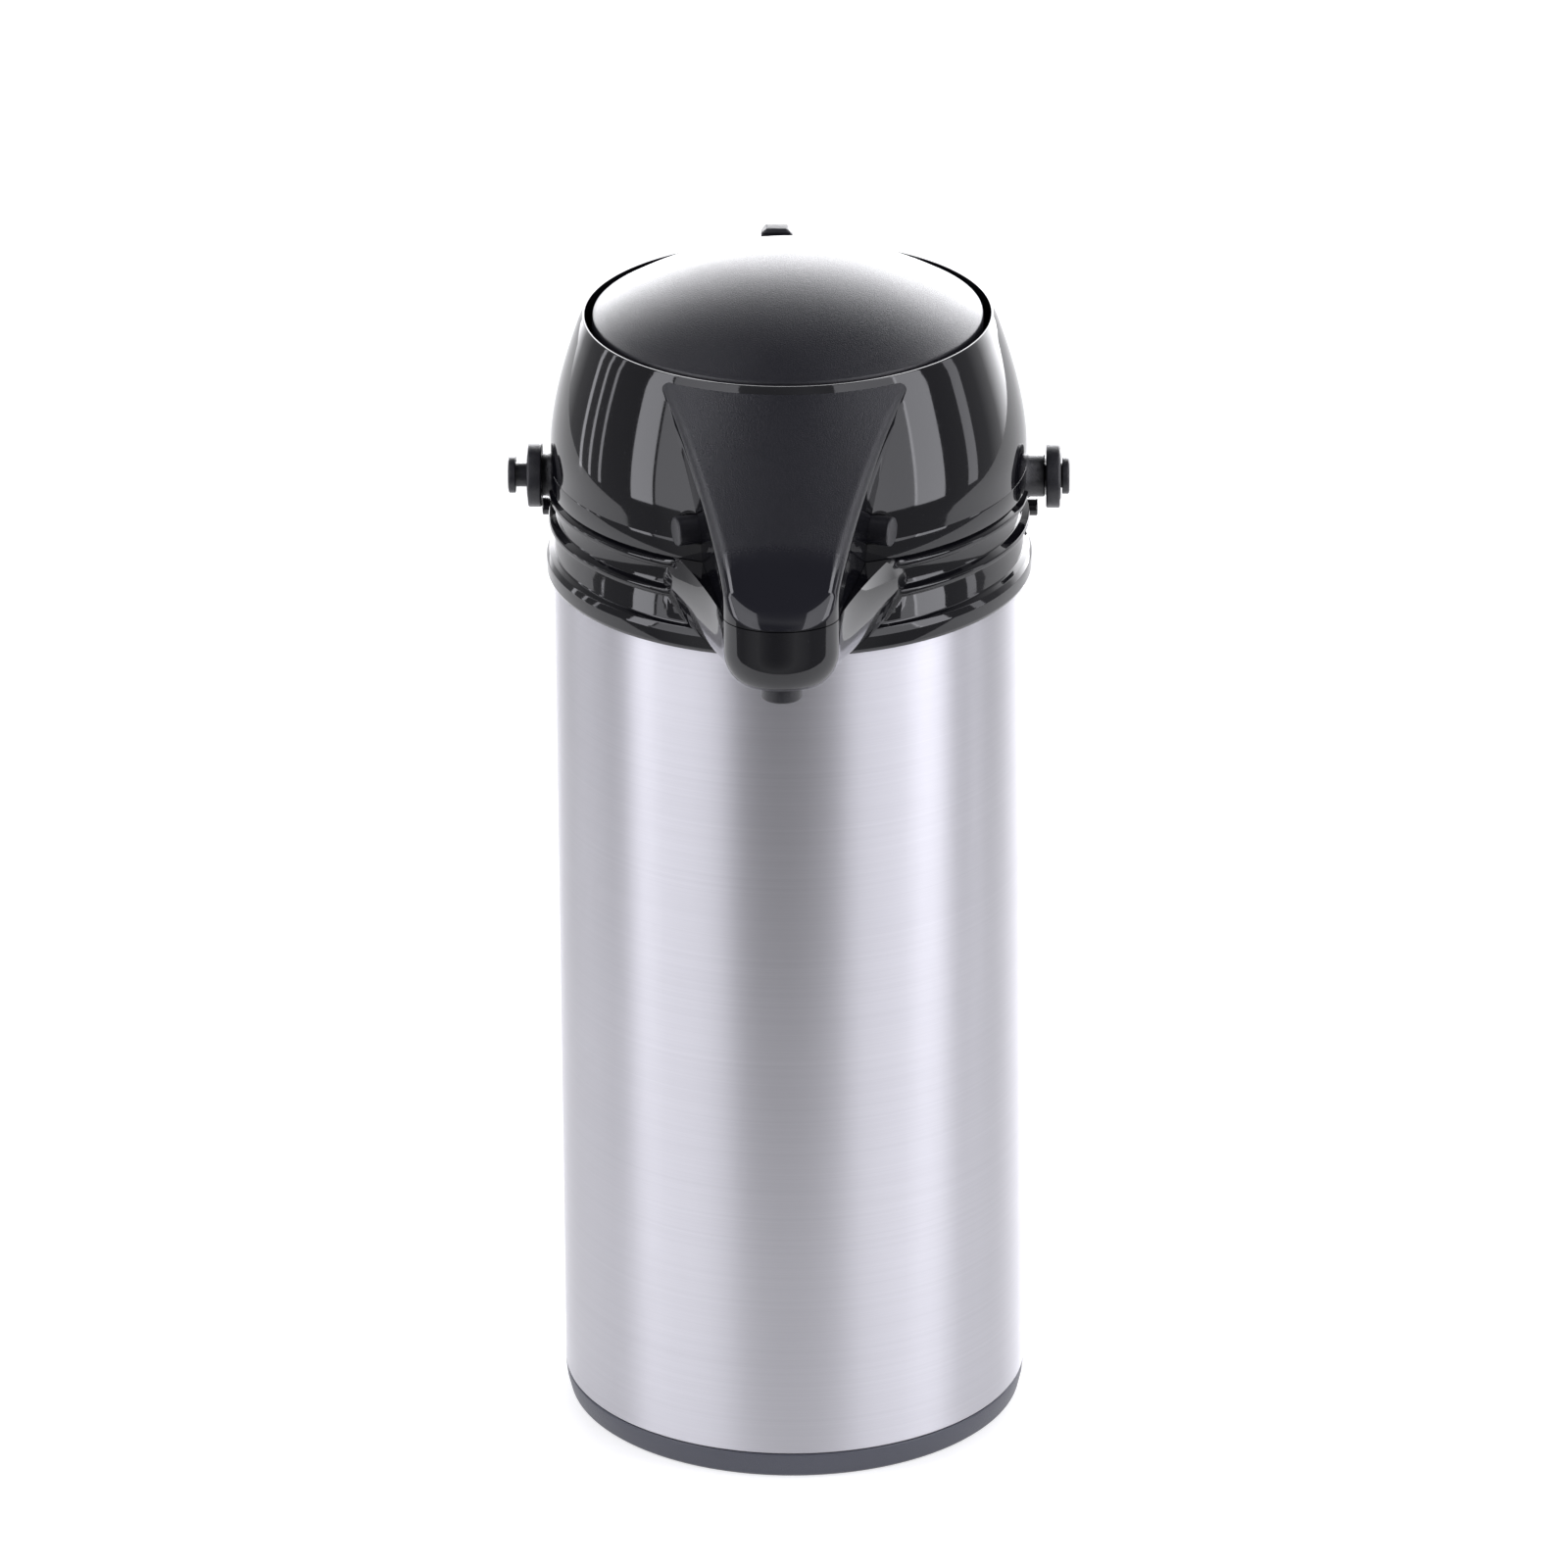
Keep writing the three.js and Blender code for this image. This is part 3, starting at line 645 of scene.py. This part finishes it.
SPOUT_ROOT = -49.0
NOSE_START = -105.0
NOSE_TIP = -117.0
ROOT_HALF = 34.9
NOSE_HALF = 16.3
PANEL_TOP = 337.5
PANEL_SLOPE = 0.8
RIM_RADIUS = 59.0
WAIST = 0.79
ROOT_BLEND = 42
EVEN_SHARE = 0.12
COVER_LIP = 1.7
SOFT_MEET = 2.5
LOWER_ROOT = -56
LOWER_BOTTOM = 264
LOWER_RISE = 4


def half_width(y):
    along = max((y - NOSE_START) / (SPOUT_ROOT - NOSE_START), 0)
    return NOSE_HALF + (ROOT_HALF - NOSE_HALF) * along ** 1.2


def root_share(y):
    """0 at the nose and 1 where the spout has reached its root's shape."""
    return min(max((y - NOSE_START) / ROOT_BLEND, 0), 1)


def eased(t):
    """0 to 1 across, with more columns near both edges, where the surface rounds over."""
    s = math.sin(math.pi * (t - 0.5))
    return 0.5 + 0.5 * (s * (1 - EVEN_SHARE) + EVEN_SHARE * (2 * t - 1))


def plan_point(a, b, root, share, inset=0.0):
    """Where a column and a row of the spout meet in plan, and how far that is from the edge."""
    across = 2 * eased(a) - 1
    edge_y = root + b * (NOSE_START - root)
    half = half_width(edge_y) * share(edge_y) - inset
    x = across * half
    nose = (NOSE_START - NOSE_TIP - inset) * math.sqrt(max(1 - across ** 2, 0)) * share(edge_y)
    y = root + b * (NOSE_START - nose - root)
    to_side = (1 - abs(across)) * half
    to_front = (1 - b) * abs(NOSE_START - nose - root)
    return x, y, min(to_side, to_front)


def round_over(distance, radius):
    """Drop of a rounded edge at a distance from the outline."""
    if distance >= radius:
        return 0.0
    return radius - math.sqrt(max(radius ** 2 - (radius - distance) ** 2, 0))


def crowded_end(b):
    """Rows bunched towards the nose."""
    return 1 - (1 - b) ** 1.7


def cover_block(inset, root, low_z):
    """The spout's cover. Its top is a cone that falls from the lid's rim to the nose."""
    def point(a, b, c):
        def share(y):
            return 1 - (1 - WAIST) * root_share(y) * (1 - c ** 1.25)

        x, y, edge = plan_point(a, crowded_end(b), root, share, inset)
        cone = PANEL_TOP - PANEL_SLOPE * (math.hypot(x, y) - RIM_RADIUS) - inset
        least = PARTING + COVER_LIP - inset
        top = least + SOFT_MEET * math.log1p(math.exp((cone - least) / SOFT_MEET))
        if not inset:
            rounding = 1.1 + 3.2 * (1 - root_share(y - 8))
            top = max(top - round_over(edge, rounding), PARTING + 0.35)
        return x, y, low_z + (top - low_z) * c
    return grid_block(44, 60, 6, point, top_index=0 if inset else 1)


def lower_block():
    """The lower half of the spout, flared at the root and rounded under the nose."""
    top = PARTING - 0.3

    def point(a, b, c):
        def share(y):
            nose = 0.5 + 0.5 * math.sqrt(1 - (1 - min(c * 1.9, 1)) ** 2)
            root = 0.77 + 0.23 * c + 0.19 * math.sin(math.pi * c) ** 0.85
            blend = root_share(y) ** 0.8
            return nose * (1 - blend) + root * blend

        x, y, _ = plan_point(a, crowded_end(b), LOWER_ROOT, share)
        low = LOWER_BOTTOM + LOWER_RISE * min(max((-y - 66) / 39, 0), 1)
        return x, y, low + (top - low) * c
    return grid_block(44, 60, 14, point)


# ---------------------------------------------------------------- collar

RIB_END = math.asin(31 / BODY_RADIUS)
RIB_FADE = 0.035
PLAIN_RADIUS = 68.2
FLANGE_RADIUS = 70
FLANGE_TOP = 266.0
SLEEVE_INNER = 67.1
SLEEVE_OUTER = 68.3
HINGE_Y = 71.5
HINGE_Z = 293.0
HINGE_RADIUS = 4.5
HINGE_BORE = 2.1
KNUCKLE_START = 13.7
KNUCKLE_END = 20
POST_RADIUS = 6.1
POST_ROOT = 60
POST_END = 73.6
PIVOT_Z = 289.0
PIPE_Z = 281.0
NOZZLE_Y = -102.0
SIDES = ((1, "right"), (-1, "left"))


def collar_radius(r, z, angle):
    """The ribs and the bands between them run out into a plain face beside the spout."""
    if z < FLANGE_TOP + 3 or z > PARTING - 1.2 or r < 66:
        return r
    off_front = abs((angle + math.pi / 2 + math.pi) % (2 * math.pi) - math.pi)
    fade = min(max((off_front - RIB_END) / RIB_FADE, 0), 1)
    return PLAIN_RADIUS + (r - PLAIN_RADIUS) * fade


def rib(z, radius):
    return [(66.9, z - 2.1, 0.5), (radius, z - 0.9, 0.5), (radius, z + 0.5, 0.5), (67.1, z + 1.6, 0.5)]


def make_collar():
    top = PARTING - 0.3
    outer = [(SLEEVE_OUTER, COLLAR_BOTTOM, 0.1), (69.5, COLLAR_BOTTOM + 0.1, 0.5),
             (FLANGE_RADIUS, COLLAR_BOTTOM + 1.2, 1), (FLANGE_RADIUS, FLANGE_TOP, 1.2), (69.2, 267.6, 0.6),
             (67.7, 268.4, 0.8), (67.5, 272.5, 2), *rib(277.4, 69.3), *rib(285.9, 69.1), (67.0, 293.4, 0.5),
             (68.6, 294.2, 0.4), (68.6, top, 0.35)]
    inner = [(64.6, top, 0.2), (64.6, 256, 0.2), (SLEEVE_INNER, 256, 0.2), (SLEEVE_INNER, 266.4, 0),
             (SLEEVE_OUTER, 266.4, 0)]
    steel_slot = [(SLEEVE_INNER, 250), (SLEEVE_OUTER, 250), (SLEEVE_OUTER, 266.4), (SLEEVE_INNER, 266.4)]
    throat = [(27, 267.6), (33, 267.6), (33, 269.6), (30.5, 270.6), (30.5, 273.5), (65.5, 273.5), (65.5, 276),
              (30.5, 276), (30.5, 289.5, 0.9), (27, 289.5, 0.9)]
    seal_hole = moved(rod(6.2, 20, 37, 0, 40), shift(0, 0, PIPE_Z) @ Matrix.Rotation(math.pi / 2, 4, "X"))
    steps = [
        ("UNION", spin(fillet(throat, 0.4, True, 3), 120)),
        ("UNION", lower_block()),
        ("DIFFERENCE", spin(steel_slot, 240)),
        ("DIFFERENCE", rounded_box((-7, -110.5, 275.5), (7, -58, PARTING + 5), 0)),
        ("DIFFERENCE", rounded_box((-7, -60, 276.5), (7, -36, PARTING + 5), 0)),
        ("DIFFERENCE", moved(rod(6.1, 260, 277, 0, 40), shift(0, NOZZLE_Y, 0))),
        ("DIFFERENCE", seal_hole),
        ("DIFFERENCE", along_x(rod(5.1, -13.5, 13.5, 0, 40), 1, HINGE_Y, HINGE_Z)),
    ]
    for side, _ in SIDES:
        steps.append(("DIFFERENCE", on_button_axis(rod(BUTTON_RADIUS + 0.5, -9, 12, 0, 40), side)))
    ring = spin(fillet(outer + inner, 0.3, True, 3), 240, reshape=collar_radius)
    body = combine(ring, steps, [LOOKS["glossBlack"]])
    finish_mesh("collar_moulded", body, "flask", "glossBlack", ["collar"], 28)


def make_post(side, label):
    """The bail's post and the lug that stops the bail behind it."""
    foot = POST_RADIUS + 1.2
    post = [(0, POST_ROOT), (foot, POST_ROOT, 0), (foot, 67.4, 2.0), (POST_RADIUS, 69.5, 0),
            (POST_RADIUS, POST_END, 0.5), (3.8, POST_END, 0.3), (3.8, 66), (0, 66)]
    turned = along_x(spin(fillet(post, 0.3), 64), side, 0, PIVOT_Z)
    finish_mesh(f"bail_post_{label}", turned, "flask", "satinBlack")
    lug = along_x(rod(2.5, 62, 71.6, 0.5, 32), side, 11.5, 274.6)
    finish_mesh(f"bail_stop_{label}", lug, "flask", "glossBlack")


def make_knuckle(side, label):
    near, far = sorted((side * KNUCKLE_START, side * KNUCKLE_END))
    steps = [
        ("UNION", rounded_box((near, 65.2, 280), (far, 74.4, 292), 1.2)),
        ("DIFFERENCE", along_x(rod(HINGE_BORE, 10, 24, 0, 32), side, HINGE_Y, HINGE_Z)),
    ]
    barrel = along_x(rod(HINGE_RADIUS, KNUCKLE_START, KNUCKLE_END, 0.5, 48), side, HINGE_Y, HINGE_Z)
    knuckle = combine(barrel, steps, [LOOKS["glossBlack"]])
    finish_mesh(f"hinge_knuckle_{label}", knuckle, "flask", "glossBlack")


def make_nozzle():
    low, high = box_mm("nozzle")
    outline = [(4.5, low.z, 0.4), (high.x, low.z, 0.7), (high.x, high.z), (4.5, high.z)]
    centre = (low + high) / 2
    tip = moved(spin(fillet(outline, 0.2, True), 64), shift(0, centre.y, 0))
    finish_mesh("nozzle_tip", tip, "flask", "satinBlack", ["nozzle"])


# ---------------------------------------------------------------- bail and its pins

BAIL_PLAY = 1.5
EYE_INNER = 72.5
EYE_OUTER = 76.5
BAIL_REACH = 106.0
BAIL_REST = math.radians(112)
STRAP_HALF_THICK = 1.75
STRAP_HALF_WIDE = 5.4
PIN_RADIUS = 3.5
HEAD_RADIUS = 5.3


def make_pins():
    for side, label in SIDES:
        outline = [(0, 65), (PIN_RADIUS, 65), (PIN_RADIUS, 78.6), (HEAD_RADIUS, 78.6, 0.3),
                   (HEAD_RADIUS, 80.5, 0.5), (4.2, 80.8, 0.2), (3.9, 80.4, 0.1), (0, 80.4)]
        pin = along_x(spin(fillet(outline, 0.2), 64), side, 0, PIVOT_Z)
        finish_mesh(f"bail_pin_{label}", pin, "flask", "satinBlack", [f"handle_pin_{label}"])


def bail_strap():
    """A band with rounded corners along a superellipse, thicker and wider at the grip."""
    stations, around = 96, 28
    work = bmesh.new()
    rings = []
    for i in range(stations + 1):
        t = math.pi * i / stations
        grip = min(max((math.sin(t) - 0.80) / 0.17, 0), 1) ** 1.5
        half_thick = STRAP_HALF_THICK + 2.2 * grip
        half_wide = STRAP_HALF_WIDE + 1.2 * grip
        centre_half = EYE_INNER + 0.3 + STRAP_HALF_THICK
        reach = BAIL_REACH - half_thick - 0.05
        c, s = math.cos(t), math.sin(t)
        x = math.copysign(centre_half * abs(c) ** (2 / 3), c)
        z = reach * max(s, 0) ** (2 / 3) if i < stations else 0.0
        normal = Vector((math.copysign((x / centre_half) ** 2, x) / centre_half, 0, (z / reach) ** 2 / reach))
        normal.normalize()
        square = 0.45 + 0.25 * grip
        ring = []
        for k in range(around):
            u = 2 * math.pi * k / around
            cu, su = math.cos(u), math.sin(u)
            out = math.copysign(abs(cu) ** square, cu) * half_thick
            wide = math.copysign(abs(su) ** square, su) * half_wide
            ring.append(work.verts.new((Vector((x, 0, z)) + normal * out + Vector((0, wide, 0))) * MM))
        rings.append(ring)
    for low, high in zip(rings, rings[1:]):
        for k in range(around):
            j = (k + 1) % around
            work.faces.new((low[k], low[j], high[j], high[k]))
    work.faces.new(rings[0][::-1])
    work.faces.new(rings[-1])
    bmesh.ops.recalc_face_normals(work, faces=work.faces)
    return mesh_from(work, "strap")


def make_bail():
    steps = []
    groove = EYE_OUTER - 0.5
    boss = EYE_OUTER + 0.25
    for side, _ in SIDES:
        eye = [(0, EYE_INNER), (9.3, EYE_INNER, 0.6), (9.3, EYE_OUTER, 0.8), (7.9, EYE_OUTER, 0.2),
               (7.5, groove, 0.2), (7.1, groove, 0.2), (6.8, boss, 0.3), (0, boss)]
        steps.append(("UNION", along_x(spin(fillet(eye, 0.3), 96), side, 0, 0)))
    for side, _ in SIDES:
        post_hole = rod(POST_RADIUS + 0.3, EYE_INNER - 1, EYE_OUTER - 1, 0, 64)
        pin_hole = rod(PIN_RADIUS + 0.25, EYE_INNER - 3, EYE_OUTER + 4, 0, 48)
        steps += [("DIFFERENCE", along_x(hole, side, 0, 0)) for hole in (post_hole, pin_hole)]
    bail = combine(bail_strap(), steps, [LOOKS["satinBlack"]])
    place = shift(BAIL_PLAY, 0, PIVOT_Z) @ Matrix.Rotation(-BAIL_REST, 4, "X")
    finish_mesh("carrying_bail", moved(bail, place), "handle", "satinBlack", ["handle_bail"], 40)


# ---------------------------------------------------------------- lid

SHELL_RADIUS = 68.5
SHELL_WIDEST = 300.0
RIM_TOP = 339.0
SHELL_WALL = 2.2
SHELL_LEVELS = 22
SHELL_CREST = 336.2
BORE_RADIUS = 58.2
PLATE_LOW = 297
PLATE_HIGH = 299.8
PLUG_LOW = 287
DOME_EDGE = 338.6
DOME_WALL = 2.2
DOME_STEPS = 26
LUG_HALF = 13.1
BUTTON_RADIUS = 4.25
BUTTON_PLACE = Vector((22.6, -63.0, 298.0))
BUTTON_YAW = math.radians(20)
BUTTON_TAIL = -4
BUTTON_END = 8.6
CAP_BOTTOM = 339.6
CAP_TAPER = 0.35
GROOVE_HEIGHTS = (330, 332.5, 335)
GROOVE_DEPTH = 0.4
GROOVE_WIDTH = 0.9


def shell_radius(z):
    share = max(z - SHELL_WIDEST, 0) / (RIM_TOP - SHELL_WIDEST)
    return SHELL_RADIUS - (SHELL_RADIUS - RIM_RADIUS) * share ** 1.6


def on_button_axis(mesh, side):
    turn = Matrix.Rotation(-BUTTON_YAW, 4, "Z") @ Matrix.Rotation(math.pi / 2, 4, "Y")
    place = Matrix.Translation(BUTTON_PLACE * MM) @ turn
    if side < 0:
        place = Matrix.Scale(-1, 4, (1, 0, 0)) @ place
    return moved(mesh, place)


def make_lid_shell():
    rise = SHELL_CREST - PARTING
    heights = [PARTING + rise * (k / SHELL_LEVELS) for k in range(1, SHELL_LEVELS + 1)]
    foot = shell_radius(PARTING)
    outer = [(0, PARTING), (foot - 0.1, PARTING, 0.3)] + [(shell_radius(z), z, 0) for z in heights]
    rim = [(RIM_RADIUS + 0.35, 337.7, 0.5), (RIM_RADIUS - 0.1, 338.6, 0.4), (58.7, RIM_TOP, 0.3),
           (0, RIM_TOP)]
    inner = [(shell_radius(z) - SHELL_WALL, z, 0) for z in heights[:-4]]
    mouth = [(BORE_RADIUS, 333.5, 0.6), (BORE_RADIUS, 338.4), (58.6, 345), (0, 345)]
    hollow = [(0, 285), (foot - SHELL_WALL, 285)] + inner + mouth
    steps = [
        ("UNION", cover_block(0, -50, PARTING)),
        ("UNION", along_x(rod(HINGE_RADIUS, -LUG_HALF, LUG_HALF, 0.5), 1, HINGE_Y, HINGE_Z)),
        ("UNION", rounded_box((-LUG_HALF, 66, PARTING), (LUG_HALF, 75.2, 301), 1.0)),
        ("DIFFERENCE", spin(fillet(hollow, 0.2), 200)),
        ("DIFFERENCE", cover_block(2.0, -36, PARTING - 3)),
        ("DIFFERENCE", rounded_box((-9.8, 57, 325.4), (9.8, 70, 329.4), 0)),
        ("DIFFERENCE", along_x(rod(HINGE_BORE, -21, 21, 0, 32), 1, HINGE_Y, HINGE_Z)),
    ]
    for side, _ in SIDES:
        steps.append(("DIFFERENCE", on_button_axis(rod(BUTTON_RADIUS + 0.3, -9, 12, 0, 48), side)))
        steps.append(("DIFFERENCE", along_x(rod(5.0, 13.5, 20.4, 0, 40), side, HINGE_Y, HINGE_Z)))
    shell = combine(spin(fillet(outer + rim, 0.3), 240), steps, [LOOKS["glossBlack"], PANEL_LOOK])
    finish_mesh("lid_shell_moulded", shell, "lid", "glossBlack", ["lid_shell"], 24)


def make_lid_base():
    outline = [(8, PLATE_LOW), (24, PLATE_LOW, 0.5), (24, PLUG_LOW, 0.8), (26.4, PLUG_LOW, 0.8),
               (26.4, PLATE_LOW, 0.5), (38, PLATE_LOW), (38.5, 296.6), (40, 296.6), (40.5, PLATE_LOW),
               (65.2, PLATE_LOW, 0.4), (65.2, PLATE_HIGH, 0.4), (8, PLATE_HIGH)]
    holes = [on_button_axis(rod(BUTTON_RADIUS + 0.6, -9, 12, 0, 40), side) for side, _ in SIDES]
    cuts = [("DIFFERENCE", hole) for hole in holes]
    base = combine(spin(fillet(outline, 0.3, True), 128), cuts, [LOOKS["satinBlack"]])
    finish_mesh("lid_base_moulded", base, "lid", "satinBlack", ["lid_base"])


def make_gasket():
    low, high = box_mm("lid_gasket")
    bore = 26.7
    outline = [(bore, low.z, 0.6), (29.6, low.z, 0.8), (high.x, low.z + 1.6, 0.8), (30.4, low.z + 3, 0.4),
               (high.x, low.z + 4.6, 0.8), (high.x, high.z, 0.4), (bore, high.z, 0.4)]
    gasket = spin(fillet(outline, 0.5, True), 96)
    finish_mesh("lid_gasket_ring", gasket, "lid", "silicone", ["lid_gasket"])


def make_dome():
    low, high = box_mm("push_dome")
    radius, crown, skirt = high.x, high.z, low.z
    rise = crown - DOME_EDGE - 1.2
    top_edge = radius - 1.4
    crown_radius = (top_edge ** 2 + rise ** 2) / (2 * rise)

    def cap(r, drop):
        return crown - drop - crown_radius + math.sqrt(crown_radius ** 2 - r ** 2)

    radii = [top_edge * k / DOME_STEPS for k in range(DOME_STEPS + 1)]
    outer = [(r, cap(r, 0), 0) for r in radii]
    inner = [(r, z - DOME_WALL, 0) for r, z, _ in outer if r < radius - 2.6][::2]
    inside = radius - DOME_WALL
    edge = [(radius - 0.25, DOME_EDGE + 0.6, 0.6), (radius, DOME_EDGE - 0.2, 0.8), (radius, skirt, 0.3),
            (inside, skirt, 0.3), (inside, cap(inside, DOME_WALL), 0)]
    outline = outer + edge + inner[::-1]
    notch = rounded_box((-9.6, 50, skirt - 1), (0.6, 60, skirt + 20), 0)
    dome = combine(spin(fillet(outline, 0.3), 200), [("DIFFERENCE", notch)], [LOOKS["satinBlack"]])
    finish_mesh("dome_cap", dome, "push_button", "satinBlack", ["push_dome"])


def make_buttons():
    outline = [(0, BUTTON_TAIL), (BUTTON_RADIUS, BUTTON_TAIL, 0.4), (BUTTON_RADIUS, BUTTON_END, 0.75),
               (0, BUTTON_END)]
    for side, label in SIDES:
        button = on_button_axis(spin(fillet(outline, 0.5, False, 6), 72), side)
        replaced = [f"release_button_{label}"]
        finish_mesh(f"release_peg_{label}", button, f"release_{label}", "satinBlack", replaced)


def make_lock():
    """The lock's tab, tapered at the top, with the arm and foot that ride inside the lid."""
    low, high = box_mm("lock_slider")
    left, right = low.x + 0.8, high.x - 0.8
    parts = [
        ((low.x, 63.9, 325.6), (high.x, high.y, high.z), 0.8),
        ((low.x, 60.4, CAP_BOTTOM), (high.x, high.y, high.z), 0.9),
        ((left, 58.5, 326), (right, 65, 329), 0.3),
        ((left, 58.5, low.z), (right, 59.9, 329), 0.3),
        ((left, low.y, low.z), (right, 59.9, 317), 0.3),
    ]
    steps = [("UNION", rounded_box(*part)) for part in parts[1:]]
    for z in GROOVE_HEIGHTS:
        start = (low.x + 1.2, high.y - GROOVE_DEPTH, z)
        end = (high.x - 1.2, high.y + 1, z + GROOVE_WIDTH)
        steps.append(("DIFFERENCE", rounded_box(start, end, 0)))
    slider = combine(rounded_box(*parts[0]), steps, [LOOKS["satinBlack"]])
    middle = (low.x + high.x) / 2 * MM
    for vertex in slider.vertices:
        above = max(vertex.co.z / MM - CAP_BOTTOM, 0) / (high.z - CAP_BOTTOM)
        vertex.co.x += (middle - vertex.co.x) * CAP_TAPER * above
    finish_mesh("lock_tab", slider, "lock", "satinBlack", ["lock_slider"])


# ---------------------------------------------------------------- pump, pipe and fasteners inside

DIP_TUBE_Y = -12.0
BEND_STEPS = 10
FOLDS = 5
FOLD_INNER = 31
FOLD_OUTER = 39
FOLD_WALL = 2.4
SPRING_TURNS = 5
SPRING_WIRE = 0.9
SPRING_RADIUS = 14.0
SPRING_STEPS = 40
SCREW_RADIUS = 1.5
SCREW_HEAD = 3.0
SEAT = 296.7
SLOT_LONG = 1.8
SLOT_SHORT = 0.4


def bend(start, corner, end):
    """Points of a turn from start to end about a corner."""
    start, corner, end = Vector(start), Vector(corner), Vector(end)
    return [curve_point(start, corner, end, k / BEND_STEPS) for k in range(BEND_STEPS + 1)]


def make_dispensing_line():
    rise = bend((0, DIP_TUBE_Y, 270), (0, DIP_TUBE_Y, PIPE_Z), (0, -23, PIPE_Z))
    fall = bend((0, -91, PIPE_Z), (0, NOZZLE_Y, PIPE_Z), (0, NOZZLE_Y, 270))
    path = [(0, DIP_TUBE_Y, 258), *rise, *fall, (0, NOZZLE_Y, 264.6)]
    finish_mesh("outlet_tube", tube(path, 4.0, 2.6), "flask", "whitePlastic", ["outlet_pipe"])
    low, high = box_mm("tube_coupling")
    sleeve = [(4.3, low.z, 0.5), (high.x, low.z, 0.9), (high.x, high.z, 0.9), (4.3, high.z, 0.5)]
    sleeve_mesh = moved(spin(fillet(sleeve, 0.5, True), 48), shift(0, DIP_TUBE_Y, 0))
    finish_mesh("tube_sleeve", sleeve_mesh, "flask", "rubber", ["tube_coupling"])


def squeeze(piece):
    """Gives a piece of the pump its own copy of its mesh."""
    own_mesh(piece)


def make_bellows():
    low, high = box_mm("bellows")
    step = (high.z - low.z) / (2 * FOLDS)
    outer = [(FOLD_OUTER if k % 2 else FOLD_INNER, low.z + k * step, 1.2) for k in range(2 * FOLDS + 1)]
    inner = [(r - FOLD_WALL, z, 1.0) for r, z, _ in outer[::-1]]
    mesh = spin(fillet(outer + inner, 1, True, 3), 120)
    bellows = finish_mesh("pump_bellows", mesh, "lid", "rubber", ["bellows"], 60)
    squeeze(bellows)


def make_spring():
    low, high = box_mm("return_spring")
    bottom, top = low.z + SPRING_WIRE, high.z - SPRING_WIRE
    count = SPRING_TURNS * SPRING_STEPS
    coil = []
    for k in range(count + 1):
        angle = 2 * math.pi * SPRING_TURNS * k / count
        coil.append((SPRING_RADIUS * math.cos(angle), SPRING_RADIUS * math.sin(angle),
                     bottom + (top - bottom) * k / count))
    mesh = tube(coil, SPRING_WIRE, facets=12)
    spring = finish_mesh("pump_spring", mesh, "lid", "springSteel", ["return_spring"], 60)
    squeeze(spring)


def make_screws():
    """Cross-headed screws that hold the plate under the lid, heads down."""
    for number in range(1, 5):
        low, high = box_mm(f"lid_screw_{number}")
        middle = (low + high) / 2
        outline = [(0, low.z + 0.25), (1.8, low.z + 0.1), (2.75, low.z + 0.7), (SCREW_HEAD, SEAT),
                   (SCREW_RADIUS, SEAT), (SCREW_RADIUS, 306), (0, 307)]
        cross = [(SLOT_LONG, SLOT_SHORT), (SLOT_SHORT, SLOT_LONG)]
        slots = [("DIFFERENCE", rounded_box((-a, -b, low.z - 1), (a, b, low.z + 0.9), 0)) for a, b in cross]
        screw = combine(spin(fillet(outline, 0.3), 40), slots, [LOOKS["springSteel"]])
        moved(screw, shift(middle.x, middle.y, 0))
        finish_mesh(f"cross_screw_{number}", screw, "lid", "springSteel", [f"lid_screw_{number}"])


def make_hinge_rod():
    low, high = box_mm("hinge_pin")
    pin = along_x(rod(1.9, low.x, high.x, 0.5, 40), 1, HINGE_Y, HINGE_Z)
    finish_mesh("hinge_rod", pin, "flask", "springSteel", ["hinge_pin"])


# ---------------------------------------------------------------- everything

def dress_cad_nodes():
    """Gives the carried-over CAD nodes their materials by the record's slots."""
    slots = {part["node"]: part["material_slot"] for part in frame["record"]["subparts"]}
    for name, node in frame["nodes"].items():
        node.data.materials.clear()
        node.data.materials.append(LOOKS[slots[name]])


dress_cad_nodes()
make_camera()
make_studio()
make_floor()
make_base()
make_steel()
make_liner()
make_collar()
for side, label in SIDES:
    make_post(side, label)
    make_knuckle(side, label)
make_nozzle()
make_pins()
make_bail()
make_lid_shell()
make_lid_base()
make_gasket()
make_dome()
make_buttons()
make_lock()
make_dispensing_line()
make_bellows()
make_spring()
make_screws()
make_hinge_rod()
